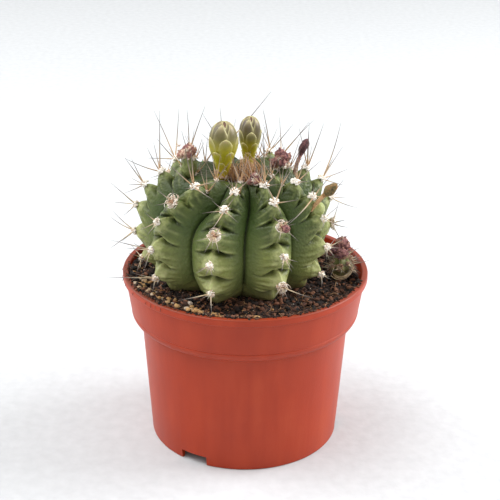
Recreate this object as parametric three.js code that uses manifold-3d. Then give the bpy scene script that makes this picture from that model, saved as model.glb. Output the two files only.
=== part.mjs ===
// A round ribbed cactus with flower buds, growing in a thin nursery pot.
// Millimetres, +Z up. The origin is the centre of the ring that the pot stands on.
// The pot is turned about Z. The cactus stands a little to the left of the pot's axis.
import * as THREE from "three";
import { mergeVertices } from "three/addons/utils/BufferGeometryUtils.js";
import Module from "manifold-3d";

// ---- Pot ----
const potHeight = 61.7;
const lipRadius = 42.5; // outside of the bead round the mouth
const lipOverhang = 1;
const lipDepth = 2.6;
const potWall = 1.1;
const collarDepth = 17.5; // from the mouth down to the shoulder
const collarTaper = 1.7;
const shoulderStep = 3.5; // how far the body steps out to the collar
const shoulderRise = 3.4;
const bodyTaper = 3.1;
const standingRingWidth = 1.6;
const standingRingHeight = 3.0; // the floor is raised by this much
const floorThickness = 1.3;
const footRounding = 0.5;
const potSegments = 40;
const shoulderHeight = potHeight - collarDepth;
const collarTopRadius = lipRadius - lipOverhang;
const collarLowRadius = collarTopRadius - collarTaper;
const waistRadius = collarLowRadius - shoulderStep; // outside of the body, under the shoulder
const baseRadius = waistRadius - bodyTaper; // outside of the standing ring

// ---- Drain notches in the standing ring ----
const notchCount = 3;
const notchAzimuth = -31; // the first one, at the front left
const notchWidth = 10;
const notchHeight = 3.4;
const notchReach = 7; // how far it runs in from the outside, opening the floor's edge

// ---- Soil ----
const soilDrop = 3.3; // below the mouth, at the pot's axis
const soilTilt = 2.6; // degrees, higher on the left
const soilClearance = 0.3;
const soilLevel = potHeight - soilDrop;

// ---- Stem ----
const stemX = -3.8;
const stemY = 0;
const crownX = 0.7; // how far the growing point has moved off the stem's axis
const crownY = -3.2;
// Each rib in turn, from the one at the front to the right: where its crest stands, how far it
// sweeps sideways by the crown, and how far up or down its areoles are set, all in degrees.
const ribs = [
  { azimuth: -12.5, sweep: 12, shift: 0 },
  { azimuth: 28.3, sweep: 0, shift: 4.5 },
  { azimuth: 63, sweep: -3.5, shift: -2 },
  { azimuth: 103, sweep: -5, shift: -5 },
  { azimuth: 145, sweep: 2, shift: 2 },
  { azimuth: 187, sweep: 5, shift: -4 },
  { azimuth: 228, sweep: 3, shift: 3 },
  { azimuth: 267, sweep: 3, shift: -8 },
  { azimuth: 308.5, sweep: 15, shift: 0 },
];
const stemToLip = 9.3; // the pot's lip is this much larger in radius than the stem
const stemStand = 18.6; // from the soil up to the widest level
const stemRise = 22; // from the widest level to the shoulders of the crown
const stemDrop = 19.5; // from the widest level to the neck
const shoulderFullness = 0.48; // smaller is squarer
const baseFullness = 0.3;
const crownDip = 4.6;
const crownDipRadius = 9;
const ribDepth = 6.6;
const neckDepth = 4.5; // of the neck that is in the soil
const neckTaper = 3;
const neckAngle = -78; // the outline's angle where the neck starts
const crownAngle = 88; // the last one, at the growing point
const furrowFoot = [-78, -45]; // the furrows deepen between these angles
const furrowHead = [64, 88]; // and fade out between these
const ribRoundness = 0.9; // of a rib's section: smaller is blunter
const tubercleSwell = 1.1;
const tubercleCrease = 0.4; // where the crease lies, as a share of the way to the next areole
const areoleLevels = [-31, 0, 25.6, 46.7, 65.4]; // up the rib, as angles from the widest level
const tubercleStart = -47; // the lower end of the first tubercle
const sweepLevel = 65.4; // where a rib has its whole sweep
const stepsPerRib = 6;
const stemSteps = 22;
const pieceClearance = 0.3; // between the stem and what grows on it
const widestLevel = soilLevel + stemStand;
const stemRadius = lipRadius - stemToLip; // over the rib crests at the widest level

// ---- Areoles and their spines, one list entry for each level ----
const padRadius = [2.0, 2.1, 2.3, 2.3, 2.1];
const padHeight = 1.1;
const spineLength = [8.4, 9, 11.5, 15, 20.5];
const spineLean = [58, 58, 50, 36, 24]; // away from the stem's surface normal
const spineRise = [0, 4, 14, 18, 14]; // how far the whole star is tipped up the rib
const spineRadius = 0.34;
const spineClocks = [52, 118, 180, -118, -52]; // round the areole, 0 is towards the crown
const spineSides = 3;

// ---- Flower buds, dried flowers and the offset ----
// The buds and the tuft stand at x and y from the growing point.
const budFront = { x: -4.8, y: -2, length: 22.8, radius: 4.9, neck: 2.7, tiltX: -1, tiltY: 1 };
const budBack = { x: 3.7, y: 7.8, length: 20.4, radius: 3.7, neck: 2.3, tiltX: 1.5, tiltY: 2 };
const budSegments = 14;
const budSink = 2.5; // how far the bud's neck is set down into the crown
const tuft = { x: 2.5, y: -0.2, radius: 2.9, padHeight: 2.2 };
const tuftSpineCount = 8;
const tuftSpines = [
  { length: 8.2, spread: 0.22 },
  { length: 11, spread: 0.32 },
]; // two kinds in turn, and how far each leans outwards for its rise
const driedSegments = 9;
// Each dried flower stands on a rib's crest, at an angle up the rib, and leans down the rib.
const driedFlowers = [
  { name: "dried_flower_left", rib: 7, level: 77, length: 6.2, radius: 2.6, lean: -8 },
  { name: "dried_flower_middle", rib: 1, level: 81, length: 4.4, radius: 2.0, lean: 0 },
  { name: "dried_flower_right", rib: 3, level: 77.5, length: 6.6, radius: 2.7, lean: -14 },
  { name: "dried_flower_tall", rib: 3, level: 69, length: 13, radius: 1.6, lean: 2 },
  { name: "dried_bud_low", rib: 2, level: 33.5, length: 9, radius: 1.9, lean: -20 },
];
const besideOffset = { rib: 3, level: 0 }; // the areole that the offset makes room for
const offsetShoot = { y: 2.4, radius: 4.0, height: 8.6, fromStem: 4 };
const offsetSpines = [
  { azimuth: 84, lean: 72, length: 8 },
  { azimuth: 52, lean: 78, length: 6.5 },
  { azimuth: 20, lean: 80, length: 6 },
  { azimuth: -20, lean: 76, length: 5.5 },
];
// The offset's buds stand at x and y from its middle.
const offsetBuds = [
  { name: "offset_bud_upper", x: 0.8, y: 1.0, radius: 2.7, length: 7.4 },
  { name: "offset_bud_front", x: 0.5, y: -3.0, radius: 1.8, length: 3.9 },
  { name: "offset_bud_side", x: -2.8, y: -0.8, radius: 1.7, length: 3.9 },
];
const offsetX = stemX + stemRadius + offsetShoot.fromStem;

const wasm = await Module();
wasm.setup();

const material = (color, roughness) =>
  new THREE.MeshStandardMaterial({ color, roughness, metalness: 0 });
const potPlastic = material(0xb04f38, 0.5);
const peat = material(0x33261f, 1);
const greenFlesh = material(0x56703f, 0.55);
const budScales = material(0x93993f, 0.5);
const woolAndSpines = material(0xdccbb4, 0.7);
const youngSpines = material(0xb57a55, 0.7);
const driedPetals = material(0x74424a, 0.9);

const radians = THREE.MathUtils.degToRad;

// Azimuth 0 is the front, -Y, and it grows towards +X.
function outward(azimuth) {
  return new THREE.Vector3(Math.sin(radians(azimuth)), -Math.cos(radians(azimuth)), 0);
}

function solidOf(geometry) {
  const bare = new THREE.BufferGeometry();
  bare.setAttribute("position", geometry.getAttribute("position"));
  bare.setIndex(geometry.getIndex());
  const merged = mergeVertices(bare, 1e-4);
  return new wasm.Manifold(
    new wasm.Mesh({
      numProp: 3,
      vertProperties: merged.getAttribute("position").array,
      triVerts: new Uint32Array(merged.getIndex().array),
    }),
  );
}

function geometryOf(solid) {
  const mesh = solid.getMesh();
  const geometry = new THREE.BufferGeometry();
  geometry.setAttribute("position", new THREE.BufferAttribute(mesh.vertProperties, 3));
  geometry.setIndex(new THREE.BufferAttribute(mesh.triVerts, 1));
  geometry.computeVertexNormals();
  return geometry;
}

// A turned solid about Z. The outline runs up the outside and ends on the axis or closes on itself.
function turned(outline, segments) {
  const geometry = new THREE.LatheGeometry(outline, segments);
  geometry.rotateX(Math.PI / 2);
  return geometry;
}

// ---------------------------------------------------------------- pot

// The pot's outside, from the foot up to the mouth, moved in by inset.
function potSide(inset, mouthHeight) {
  const shoulder = [];
  const shoulderSteps = 4;
  for (let i = 1; i <= shoulderSteps; i += 1) {
    const turn = (i / shoulderSteps) * (Math.PI / 2);
    const out = collarLowRadius - waistRadius;
    shoulder.push(
      new THREE.Vector2(
        waistRadius + out * Math.sin(turn) - inset,
        shoulderHeight + shoulderRise * (1 - Math.cos(turn)),
      ),
    );
  }
  return [
    new THREE.Vector2(waistRadius - inset, shoulderHeight),
    ...shoulder,
    new THREE.Vector2(collarTopRadius - inset, mouthHeight),
  ];
}

function bodyRadiusAt(height) {
  const t = height / shoulderHeight;
  return baseRadius + (waistRadius - baseRadius) * t;
}

function potOutline() {
  const floorTop = standingRingHeight + floorThickness;
  const lipStart = potHeight - lipDepth;
  const ringInside = baseRadius - standingRingWidth;
  const outside = [
    new THREE.Vector2(0, standingRingHeight),
    new THREE.Vector2(ringInside, standingRingHeight),
    new THREE.Vector2(ringInside, 0),
    new THREE.Vector2(baseRadius - footRounding, 0),
    new THREE.Vector2(bodyRadiusAt(footRounding), footRounding),
    ...potSide(0, lipStart),
    new THREE.Vector2(lipRadius, lipStart + lipDepth / 3),
    new THREE.Vector2(lipRadius, potHeight - lipDepth / 6),
    new THREE.Vector2(lipRadius - lipDepth / 6, potHeight),
  ];
  const inside = [
    new THREE.Vector2(collarTopRadius - potWall, potHeight),
    ...potSide(potWall, lipStart).reverse(),
    new THREE.Vector2(bodyRadiusAt(floorTop) - potWall, floorTop),
    new THREE.Vector2(0, floorTop),
  ];
  return [...outside, ...inside];
}

function notchTool(index) {
  const azimuth = notchAzimuth + (index * 360) / notchCount;
  const below = 2;
  const beyond = 3;
  const top = standingRingHeight + floorThickness;
  // The ring is open to notchHeight, and the floor's edge just inside it is open right through.
  const ringCut = new THREE.BoxGeometry(notchWidth, notchReach + beyond, notchHeight + below);
  ringCut.translate(0, -(baseRadius + (beyond - notchReach) / 2), (notchHeight - below) / 2);
  const holeDepth = notchReach - standingRingWidth - potWall;
  const floorCut = new THREE.BoxGeometry(notchWidth, holeDepth, top + below);
  floorCut.translate(0, -(baseRadius - notchReach + holeDepth / 2), (top + below) / 2);
  const tool = solidOf(ringCut).add(solidOf(floorCut));
  const geometry = geometryOf(tool);
  geometry.rotateZ(radians(azimuth));
  return solidOf(geometry);
}

function potGeometry() {
  let pot = solidOf(turned(potOutline(), potSegments));
  for (let i = 0; i < notchCount; i += 1) {
    pot = pot.subtract(notchTool(i));
  }
  return geometryOf(pot);
}

// ---------------------------------------------------------------- stem

// A point of the rib crest's outline: angle -90 is the bottom, 0 the widest level, 90 the top.
function crestPoint(angle) {
  const lower = angle < 0;
  const fullness = lower ? baseFullness : shoulderFullness;
  const radius = stemRadius * Math.max(Math.cos(radians(angle)), 0) ** fullness;
  const rise = (lower ? stemDrop : stemRise) * Math.sin(radians(angle));
  const dip = crownDip * Math.exp(-((radius / crownDipRadius) ** 2));
  return new THREE.Vector2(radius, widestLevel + rise - dip);
}

function crestNormal(angle) {
  const step = 0.5;
  const low = crestPoint(Math.max(angle - step, -89));
  const high = crestPoint(Math.min(angle + step, 89.9));
  const along = high.sub(low).normalize();
  return new THREE.Vector2(along.y, -along.x);
}

// How far a rib swells out at this angle: it peaks at each areole and dips between two.
function tubercleAt(angle) {
  const tops = areoleLevels.map((level, i) => {
    const next = areoleLevels[i + 1] ?? crownAngle;
    return level + (next - level) * tubercleCrease;
  });
  const ends = [tubercleStart, ...tops, crownAngle];
  const i = ends.findIndex((end) => angle < end);
  if (i <= 0) return 0;
  const share = (angle - ends[i - 1]) / (ends[i] - ends[i - 1]);
  return tubercleSwell * (2 * Math.sin(Math.PI * share) - 1);
}

// A rib's crest leaves its upright plane as it climbs to the crown.
function crestAzimuth(rib, angle) {
  const climb = Math.max(angle, 0) / sweepLevel;
  return rib.azimuth + rib.sweep * climb * climb;
}

// The middle of the stem at this angle: the growing point has moved to one side.
function middleAt(angle) {
  const climb = (Math.max(angle, 0) / 90) ** 2;
  return new THREE.Vector3(stemX + crownX * climb, stemY + crownY * climb, 0);
}

function furrowDepth(angle) {
  const towardsBase = THREE.MathUtils.smoothstep(angle, furrowFoot[0], furrowFoot[1]);
  const towardsCrown = THREE.MathUtils.smoothstep(angle, furrowHead[0], furrowHead[1]);
  return ribDepth * towardsBase * (1 - towardsCrown);
}

// A point of the stem's skin: share runs from 0, this rib's crest, to 1, the next rib's crest.
function stemPoint(ribIndex, share, angle, grow) {
  const rib = ribs[ribIndex];
  const next = ribs[(ribIndex + 1) % ribs.length];
  const start = crestAzimuth(rib, angle);
  const turn = (crestAzimuth(next, angle) - start + 720) % 360;
  const offCrest = Math.min(share, 1 - share) * 2;
  const shape = Math.cos((offCrest * Math.PI) / 2) ** ribRoundness;
  const nearRib = share < 0.5 ? rib : next;
  const crest = crestPoint(angle);
  const normal = crestNormal(angle);
  const swell = tubercleAt(angle - nearRib.shift) * shape;
  const out = grow + swell - furrowDepth(angle) * (1 - shape);
  const radius = Math.max(crest.x + normal.x * out, 0.4);
  const point = outward(start + share * turn).multiplyScalar(radius);
  point.z = crest.y + normal.y * out;
  return point.add(middleAt(angle));
}

function stemSolid(grow) {
  const rings = [];
  const neck = crestPoint(neckAngle);
  const ring = (pointAt) => {
    const points = [];
    for (let k = 0; k < ribs.length; k += 1) {
      for (let i = 0; i < stepsPerRib; i += 1) {
        points.push(pointAt(k, i / stepsPerRib));
      }
    }
    rings.push(points);
  };
  ring((k, share) => {
    const point = stemPoint(k, share, neckAngle, grow);
    const fromAxis = new THREE.Vector2(point.x - stemX, point.y - stemY);
    fromAxis.setLength(fromAxis.length() - neckTaper);
    return new THREE.Vector3(stemX + fromAxis.x, stemY + fromAxis.y, neck.y - neckDepth - grow);
  });
  for (let i = 0; i <= stemSteps; i += 1) {
    const climb = i / stemSteps;
    const angle = neckAngle + (crownAngle - neckAngle) * climb;
    ring((k, share) => stemPoint(k, share, angle, grow));
  }
  const around = ribs.length * stepsPerRib;
  const vertices = rings.flat();
  const bottom = vertices.length;
  vertices.push(new THREE.Vector3(stemX, stemY, neck.y - neckDepth - grow));
  vertices.push(middleAt(90).setZ(crestPoint(90).y + grow));
  const faces = [];
  for (let i = 0; i < around; i += 1) {
    const next = (i + 1) % around;
    for (let j = 0; j < rings.length - 1; j += 1) {
      const a = j * around + i;
      const b = j * around + next;
      faces.push(a, b, b + around, a, b + around, a + around);
    }
    const last = (rings.length - 1) * around;
    faces.push(bottom, next, i);
    faces.push(bottom + 1, last + i, last + next);
  }
  const geometry = new THREE.BufferGeometry().setFromPoints(vertices);
  geometry.setIndex(faces);
  return solidOf(geometry);
}

// Where something grows on a rib's crest: the point, the way out of the stem and the way up.
function seatOn(ribIndex, angle) {
  const point = stemPoint(ribIndex, 0, angle, 0);
  const normal = crestNormal(angle);
  const radial = outward(crestAzimuth(ribs[ribIndex], angle));
  const out = radial.clone().multiplyScalar(normal.x);
  out.z = normal.y;
  const up = radial.clone().multiplyScalar(-normal.y);
  up.z = normal.x;
  return { point, out, up };
}

const stemWithGap = stemSolid(pieceClearance);

// ---------------------------------------------------------------- soil

// The crest outline turned into a round plug: the space that the stem takes in the soil.
function stemPlug() {
  const neck = crestPoint(neckAngle);
  const plugSteps = 10;
  const outline = [
    new THREE.Vector2(0, neck.y - neckDepth - 2 * soilClearance),
    new THREE.Vector2(neck.x - neckTaper + 2 * soilClearance, neck.y - neckDepth - 2 * soilClearance),
  ];
  for (let i = 0; i <= plugSteps; i += 1) {
    const angle = neckAngle * (1 - i / plugSteps);
    const crest = crestPoint(angle);
    outline.push(
      new THREE.Vector2(crest.x + tubercleSwell + 2 * soilClearance, crest.y - 2 * soilClearance),
    );
  }
  outline.push(new THREE.Vector2(0, widestLevel));
  const plug = turned(outline, 40);
  plug.translate(stemX, stemY, 0);
  return solidOf(plug);
}

function soilGeometry() {
  const gap = potWall + soilClearance;
  const bottom = standingRingHeight + floorThickness + soilClearance;
  const top = potHeight - lipDepth / 6;
  const outline = [
    new THREE.Vector2(0, bottom),
    new THREE.Vector2(bodyRadiusAt(bottom) - gap, bottom),
    ...potSide(gap, potHeight - lipDepth).map((p) => new THREE.Vector2(p.x, p.y + soilClearance)),
    new THREE.Vector2(collarTopRadius - gap, top),
    new THREE.Vector2(0, top),
  ];
  const above = new THREE.BoxGeometry(4 * lipRadius, 4 * lipRadius, potHeight);
  above.translate(0, 0, potHeight / 2);
  above.rotateY(radians(soilTilt));
  above.translate(0, 0, soilLevel);
  const soil = solidOf(turned(outline, 40)).subtract(solidOf(above));
  return geometryOf(soil.subtract(stemPlug()));
}

function soilHeightAt(x) {
  return soilLevel - x * Math.tan(radians(soilTilt));
}

// ---------------------------------------------------------------- areoles and spines

// A thin tapered spine that starts at the origin and runs along +Z.
function spineGeometry(length) {
  const spine = new THREE.ConeGeometry(spineRadius, length, spineSides);
  spine.rotateX(Math.PI / 2);
  spine.translate(0, 0, length / 2);
  return spine;
}

// Turns a geometry made along +Z to a direction, with its +X as near to a side as that allows.
function aimed(geometry, origin, direction, side) {
  const z = direction.clone().normalize();
  const y = new THREE.Vector3().crossVectors(z, side).normalize();
  const x = new THREE.Vector3().crossVectors(y, z);
  const frame = new THREE.Matrix4().makeBasis(x, y, z).setPosition(origin);
  geometry.applyMatrix4(frame);
  return geometry;
}

function padGeometry(radius, height) {
  const pad = new THREE.SphereGeometry(1, 6, 4);
  pad.rotateX(Math.PI / 2);
  pad.scale(radius, radius, height + pieceClearance);
  return pad;
}

function areoleSolid(ribIndex, index) {
  const seat = seatOn(ribIndex, areoleLevels[index] + ribs[ribIndex].shift);
  const side = new THREE.Vector3().crossVectors(seat.up, seat.out);
  const tip = radians(spineRise[index]);
  const star = seat.out.clone().multiplyScalar(Math.cos(tip)).addScaledVector(seat.up, Math.sin(tip));
  const starUp = seat.up.clone().multiplyScalar(Math.cos(tip)).addScaledVector(seat.out, -Math.sin(tip));
  const root = seat.point.clone().addScaledVector(seat.out, pieceClearance);
  let solid = solidOf(aimed(padGeometry(padRadius[index], padHeight), seat.point, seat.out, seat.up));
  for (const clock of spineClocks) {
    const lean = radians(spineLean[index]);
    const away = starUp
      .clone()
      .multiplyScalar(Math.cos(radians(clock)))
      .addScaledVector(side, Math.sin(radians(clock)));
    const direction = star.clone().multiplyScalar(Math.cos(lean)).addScaledVector(away, Math.sin(lean));
    const length = spineLength[index] * (0.82 + 0.18 * Math.cos(radians(clock)));
    solid = solid.add(solidOf(aimed(spineGeometry(length), root, direction, away)));
  }
  return solid.subtract(stemWithGap);
}

// ---------------------------------------------------------------- crown

// A bud's outline: a scaly neck, a belly and a blunt top.
function budGeometry(bud) {
  const steps = 12;
  const outline = [new THREE.Vector2(0, 0)];
  for (let i = 0; i < steps; i += 1) {
    const share = i / steps;
    const belly = Math.sin(Math.PI * Math.min(share, 0.995) ** 1.9) ** 0.72;
    const neck = bud.neck * (1 - THREE.MathUtils.smoothstep(share, 0.3, 1));
    outline.push(new THREE.Vector2(Math.max(neck, bud.radius * belly), bud.length * share));
  }
  outline.push(new THREE.Vector2(0, bud.length));
  const geometry = turned(outline, budSegments);
  geometry.rotateX(radians(bud.tiltX));
  geometry.rotateY(radians(bud.tiltY));
  return geometry;
}

// The point of the stem's skin that is at x and y from the growing point.
function crownPoint({ x, y }) {
  let angle = 89;
  while (crestPoint(angle).x < Math.hypot(x, y)) {
    angle -= 0.5;
  }
  return middleAt(90).add(new THREE.Vector3(x, y, crestPoint(angle).y));
}

function crownBud(bud) {
  const geometry = budGeometry(bud);
  const root = crownPoint(bud);
  geometry.translate(root.x, root.y, root.z - budSink);
  return solidOf(geometry).subtract(stemWithGap);
}

const frontBud = crownBud(budFront);
const backBud = crownBud(budBack);

function tuftGeometry() {
  const root = crownPoint(tuft);
  const up = new THREE.Vector3(0, 0, 1);
  const pad = padGeometry(tuft.radius, tuft.padHeight);
  pad.translate(root.x, root.y, root.z);
  let solid = solidOf(pad);
  for (let i = 0; i < tuftSpineCount; i += 1) {
    const { length, spread } = tuftSpines[i % tuftSpines.length];
    const away = outward(((i + 0.5) * 360) / tuftSpineCount);
    const direction = up.clone().addScaledVector(away, spread);
    const base = root.clone().addScaledVector(away, tuft.radius / 3);
    solid = solid.add(solidOf(aimed(spineGeometry(length), base, direction, away)));
  }
  return geometryOf(solid.subtract(stemWithGap).subtract(frontBud).subtract(backBud));
}

// A shrivelled flower: a short stalk under a lumpy ball.
function driedGeometry(length, radius) {
  const steps = 6;
  const stalk = radius * 0.45;
  const outline = [new THREE.Vector2(0, 0), new THREE.Vector2(stalk, 0)];
  for (let i = 1; i < steps; i += 1) {
    const share = i / steps;
    const swell = Math.sin(Math.PI * share ** 1.3) ** 0.8;
    outline.push(new THREE.Vector2(Math.max(stalk, radius * swell), length * share));
  }
  outline.push(new THREE.Vector2(0, length));
  return turned(outline, driedSegments);
}

function driedFlowerGeometry(flower) {
  const seat = seatOn(flower.rib, flower.level);
  const lean = radians(flower.lean);
  const direction = seat.out
    .clone()
    .multiplyScalar(Math.cos(lean))
    .addScaledVector(seat.up, -Math.sin(lean));
  const geometry = aimed(driedGeometry(flower.length, flower.radius), seat.point, direction, seat.up);
  return geometryOf(solidOf(geometry).subtract(stemWithGap));
}

// ---------------------------------------------------------------- offset at the stem's foot

function offsetShootSolid() {
  const shoot = new THREE.SphereGeometry(1, 12, 8);
  shoot.rotateX(Math.PI / 2);
  shoot.scale(offsetShoot.radius, offsetShoot.radius, offsetShoot.height / 2);
  const rest = soilHeightAt(offsetX - offsetShoot.radius) + soilClearance;
  const middle = new THREE.Vector3(offsetX, offsetShoot.y, rest + offsetShoot.height / 2);
  shoot.translate(middle.x, middle.y, middle.z);
  let solid = solidOf(shoot);
  for (const { azimuth, lean, length } of offsetSpines) {
    const away = outward(azimuth);
    const direction = away.clone().multiplyScalar(Math.sin(radians(lean)));
    direction.z = Math.cos(radians(lean));
    const root = middle.clone().addScaledVector(away, offsetShoot.radius * 0.5);
    const spine = spineGeometry(length + offsetShoot.radius * 0.5);
    solid = solid.add(solidOf(aimed(spine, root, direction, away)));
  }
  return solid.subtract(stemWithGap).subtract(areoleSolid(besideOffset.rib, besideOffset.level));
}

const shootSolid = offsetShootSolid();

function offsetBudGeometry(bud) {
  const geometry = driedGeometry(bud.length, bud.radius);
  const top = soilHeightAt(offsetX - offsetShoot.radius) + offsetShoot.height;
  geometry.translate(offsetX + bud.x, offsetShoot.y + bud.y, top + pieceClearance);
  return geometryOf(solidOf(geometry).subtract(stemWithGap));
}

// ---------------------------------------------------------------- the whole plant in its pot

const plant = new THREE.Group();

function place(name, geometry, look) {
  const mesh = new THREE.Mesh(geometry, look.clone());
  mesh.name = name;
  plant.add(mesh);
}

place("pot", potGeometry(), potPlastic);
place("potting_soil", soilGeometry(), peat);
place("cactus_stem", geometryOf(stemSolid(0)), greenFlesh);
for (let rib = 0; rib < ribs.length; rib += 1) {
  for (let level = 0; level < areoleLevels.length; level += 1) {
    place(`areole_rib${rib + 1}_${level + 1}`, geometryOf(areoleSolid(rib, level)), woolAndSpines);
  }
}
place("flower_bud_front", geometryOf(frontBud), budScales);
place("flower_bud_back", geometryOf(backBud), budScales);
place("crown_spine_tuft", tuftGeometry(), youngSpines);
for (const flower of driedFlowers) {
  place(flower.name, driedFlowerGeometry(flower), driedPetals);
}
place("offset_shoot", geometryOf(shootSolid), greenFlesh);
for (const bud of offsetBuds) {
  place(bud.name, offsetBudGeometry(bud), driedPetals);
}

export default plant;
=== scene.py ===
import math
import random

import bpy
import numpy as np
from mathutils import Matrix, Vector, noise


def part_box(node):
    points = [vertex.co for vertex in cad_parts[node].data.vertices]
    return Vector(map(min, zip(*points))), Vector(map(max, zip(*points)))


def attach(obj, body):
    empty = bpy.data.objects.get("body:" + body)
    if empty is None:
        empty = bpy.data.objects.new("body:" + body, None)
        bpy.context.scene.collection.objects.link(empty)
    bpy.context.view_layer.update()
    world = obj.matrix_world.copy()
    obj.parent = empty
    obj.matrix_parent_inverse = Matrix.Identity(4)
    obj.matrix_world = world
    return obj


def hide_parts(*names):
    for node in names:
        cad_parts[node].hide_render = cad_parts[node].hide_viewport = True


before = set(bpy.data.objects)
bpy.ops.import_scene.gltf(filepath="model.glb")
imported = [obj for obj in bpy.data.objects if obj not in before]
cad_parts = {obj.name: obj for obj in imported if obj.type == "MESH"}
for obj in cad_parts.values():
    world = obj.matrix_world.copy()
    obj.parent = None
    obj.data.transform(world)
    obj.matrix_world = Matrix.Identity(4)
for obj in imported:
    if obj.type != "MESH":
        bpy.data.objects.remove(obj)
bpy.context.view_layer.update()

# ---- The pot ----
# A thin nursery pot, drawn from polypropylene sheet in one mould: a tapered body, a shoulder, a
# taller collar to lift it by, a rolled lip, and a raised floor with three drain notches.
pot_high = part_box("pot")[1]
pot_height = pot_high[2] * 1000
lip_radius = pot_high[0] * 1000
lip_depth = 2.6
collar_top = lip_radius - 1.0
collar_low = collar_top - 1.7
waist = collar_low - 3.5
foot = waist - 3.1
shoulder_height = pot_height - 17.5
wall = 1.1
ring_width = 1.6
ring_height = 3.0
floor_thickness = 1.3
notch_size = (10, 7, 3.4)
notch_azimuths = (-31, 89, 209)
pot_turns = 180


def linear(hex_color):
    """An sRGB colour such as "#b04f38" as linear red, green, blue and alpha."""
    parts = [int(hex_color[i:i + 2], 16) / 255 for i in (1, 3, 5)]
    return [((c + 0.055) / 1.055) ** 2.4 if c > 0.04045 else c / 12.92 for c in parts] + [1.0]


def per_mm(size):
    """The scale of a pattern whose features are this many millimetres apart."""
    return 1000 / size


def add(material, kind, inputs=None, stops=None, **settings):
    """Adds a shader node. An input is a value, or the socket of another node to link."""
    node = material.node_tree.nodes.new("ShaderNode" + kind)
    for name, value in settings.items():
        setattr(node, name, value)
    for name, value in (inputs or {}).items():
        if isinstance(value, bpy.types.NodeSocket):
            material.node_tree.links.new(value, node.inputs[name])
        else:
            node.inputs[name].default_value = value
    if stops:
        ramp = node.color_ramp.elements
        while len(ramp) < len(stops):
            ramp.new(1.0)
        for element, (position, color) in zip(ramp, stops):
            element.position = position
            element.color = linear(color)
    return node


def new_material(name, finish, *marks):
    """A material whose shader has this finish; also that shader, the place, and the mesh's marks."""
    material = bpy.data.materials.new(name)
    material.use_nodes = True
    shader = material.node_tree.nodes["Principled BSDF"]
    for socket, value in finish.items():
        shader.inputs[socket].default_value = value
    place = add(material, "TexCoord").outputs["Object"]
    marked = [add(material, "Attribute", attribute_name=mark).outputs["Fac"] for mark in marks]
    return material, shader, place, *marked


def color_and_bump(material, shader, color, height, depth_mm):
    """Links a colour, and a bump of this depth in millimetres, to a shader."""
    links = material.node_tree.links
    links.new(color, shader.inputs["Base Color"])
    bump = add(material, "Bump", {"Height": height, "Distance": depth_mm / 1000, "Strength": 1.0})
    links.new(bump.outputs["Normal"], shader.inputs["Normal"])


def mesh_piece(name, points, faces, material, marks=None):
    """A smooth mesh of points in millimetres. A mark gives each point a number for the material."""
    mesh = bpy.data.meshes.new(name)
    mesh.from_pydata((np.asarray(points, float) / 1000).tolist(), [], faces)
    mesh.polygons.foreach_set("use_smooth", [True] * len(mesh.polygons))
    for mark, values in (marks or {}).items():
        mesh.attributes.new(mark, "FLOAT", "POINT").data.foreach_set("value", np.asarray(values, float))
    mesh.materials.append(material)
    piece = bpy.data.objects.new(name, mesh)
    bpy.context.scene.collection.objects.link(piece)
    return piece


def belongs(piece, slot, *nodes):
    """Attaches a piece to the root body and hides the parts of the nodes that it stands for; slot is not
    used.
    """
    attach(piece, "root")
    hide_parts(*nodes)


def outward(azimuth):
    """The level direction at an azimuth in degrees: 0 is the front, -Y, and it grows towards +X."""
    turn = np.radians(azimuth)
    return np.stack([np.sin(turn), -np.cos(turn), 0 * turn], axis=-1)


def arc(centre, radius, start, end, steps):
    """Points of an outline on an arc, with its angles in degrees from outwards to upwards."""
    return [(centre[0] + radius * math.cos(math.radians(start + (end - start) * i / steps)),
             centre[1] + radius * math.sin(math.radians(start + (end - start) * i / steps)))
            for i in range(steps + 1)]


def turned(outline, turns):
    """Points and faces of an outline turned about Z; its first and last points lie on the axis."""
    rim = outline[1:-1]
    azimuths = np.arange(turns) * 360 / turns
    points = [outward(azimuths) * r + (0, 0, z) for r, z in rim]
    points = np.concatenate(points + [np.array([(0, 0, outline[0][1]), (0, 0, outline[-1][1])])])
    faces = []
    for i in range(turns):
        k = (i + 1) % turns
        for j in range(len(rim) - 1):
            faces.append((j * turns + i, j * turns + k, (j + 1) * turns + k, (j + 1) * turns + i))
        last = (len(rim) - 1) * turns
        faces.append((len(points) - 2, k, i))
        faces.append((len(points) - 1, last + i, last + k))
    return points, faces


def body_radius(height):
    return foot + (waist - foot) * height / shoulder_height


def shoulder(inset):
    """The quarter turn by which the body steps out to the collar, moved in by inset."""
    step, rise = collar_low - waist, 3.4
    quarter = [math.radians(a) for a in range(0, 91, 9)]
    return [(waist - inset + step * math.sin(a), shoulder_height + rise * (1 - math.cos(a)))
            for a in quarter]


lip_start = pot_height - lip_depth
floor_top = ring_height + floor_thickness
lip_bead = 0.55
outside = [(0, ring_height), (foot - ring_width, ring_height), (foot - ring_width, 0)]
outside += [(foot - ring_width + 0.2, 0)] + arc((foot - 0.5, 0.5), 0.5, -90, 0, 4)
outside += shoulder(0)
outside += arc((collar_low - 0.35, shoulder_height + 4.0), 0.4, -60, 0, 4)
outside += [(collar_top - 0.05, lip_start - 0.4), (collar_top, lip_start)]
outside += arc((lip_radius - lip_bead, lip_start + lip_bead), lip_bead, -60, 0, 4)
outside += arc((lip_radius - lip_bead, pot_height - lip_bead), lip_bead, 0, 90, 6)
inside = arc((collar_top - wall + lip_bead, pot_height - lip_bead), lip_bead, 90, 180, 5)
inside += [(x, z) for x, z in reversed(shoulder(wall))]
inside += [(body_radius(floor_top) - wall, floor_top), (0, floor_top)]
pot_points, pot_faces = turned(outside + inside, pot_turns)
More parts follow.
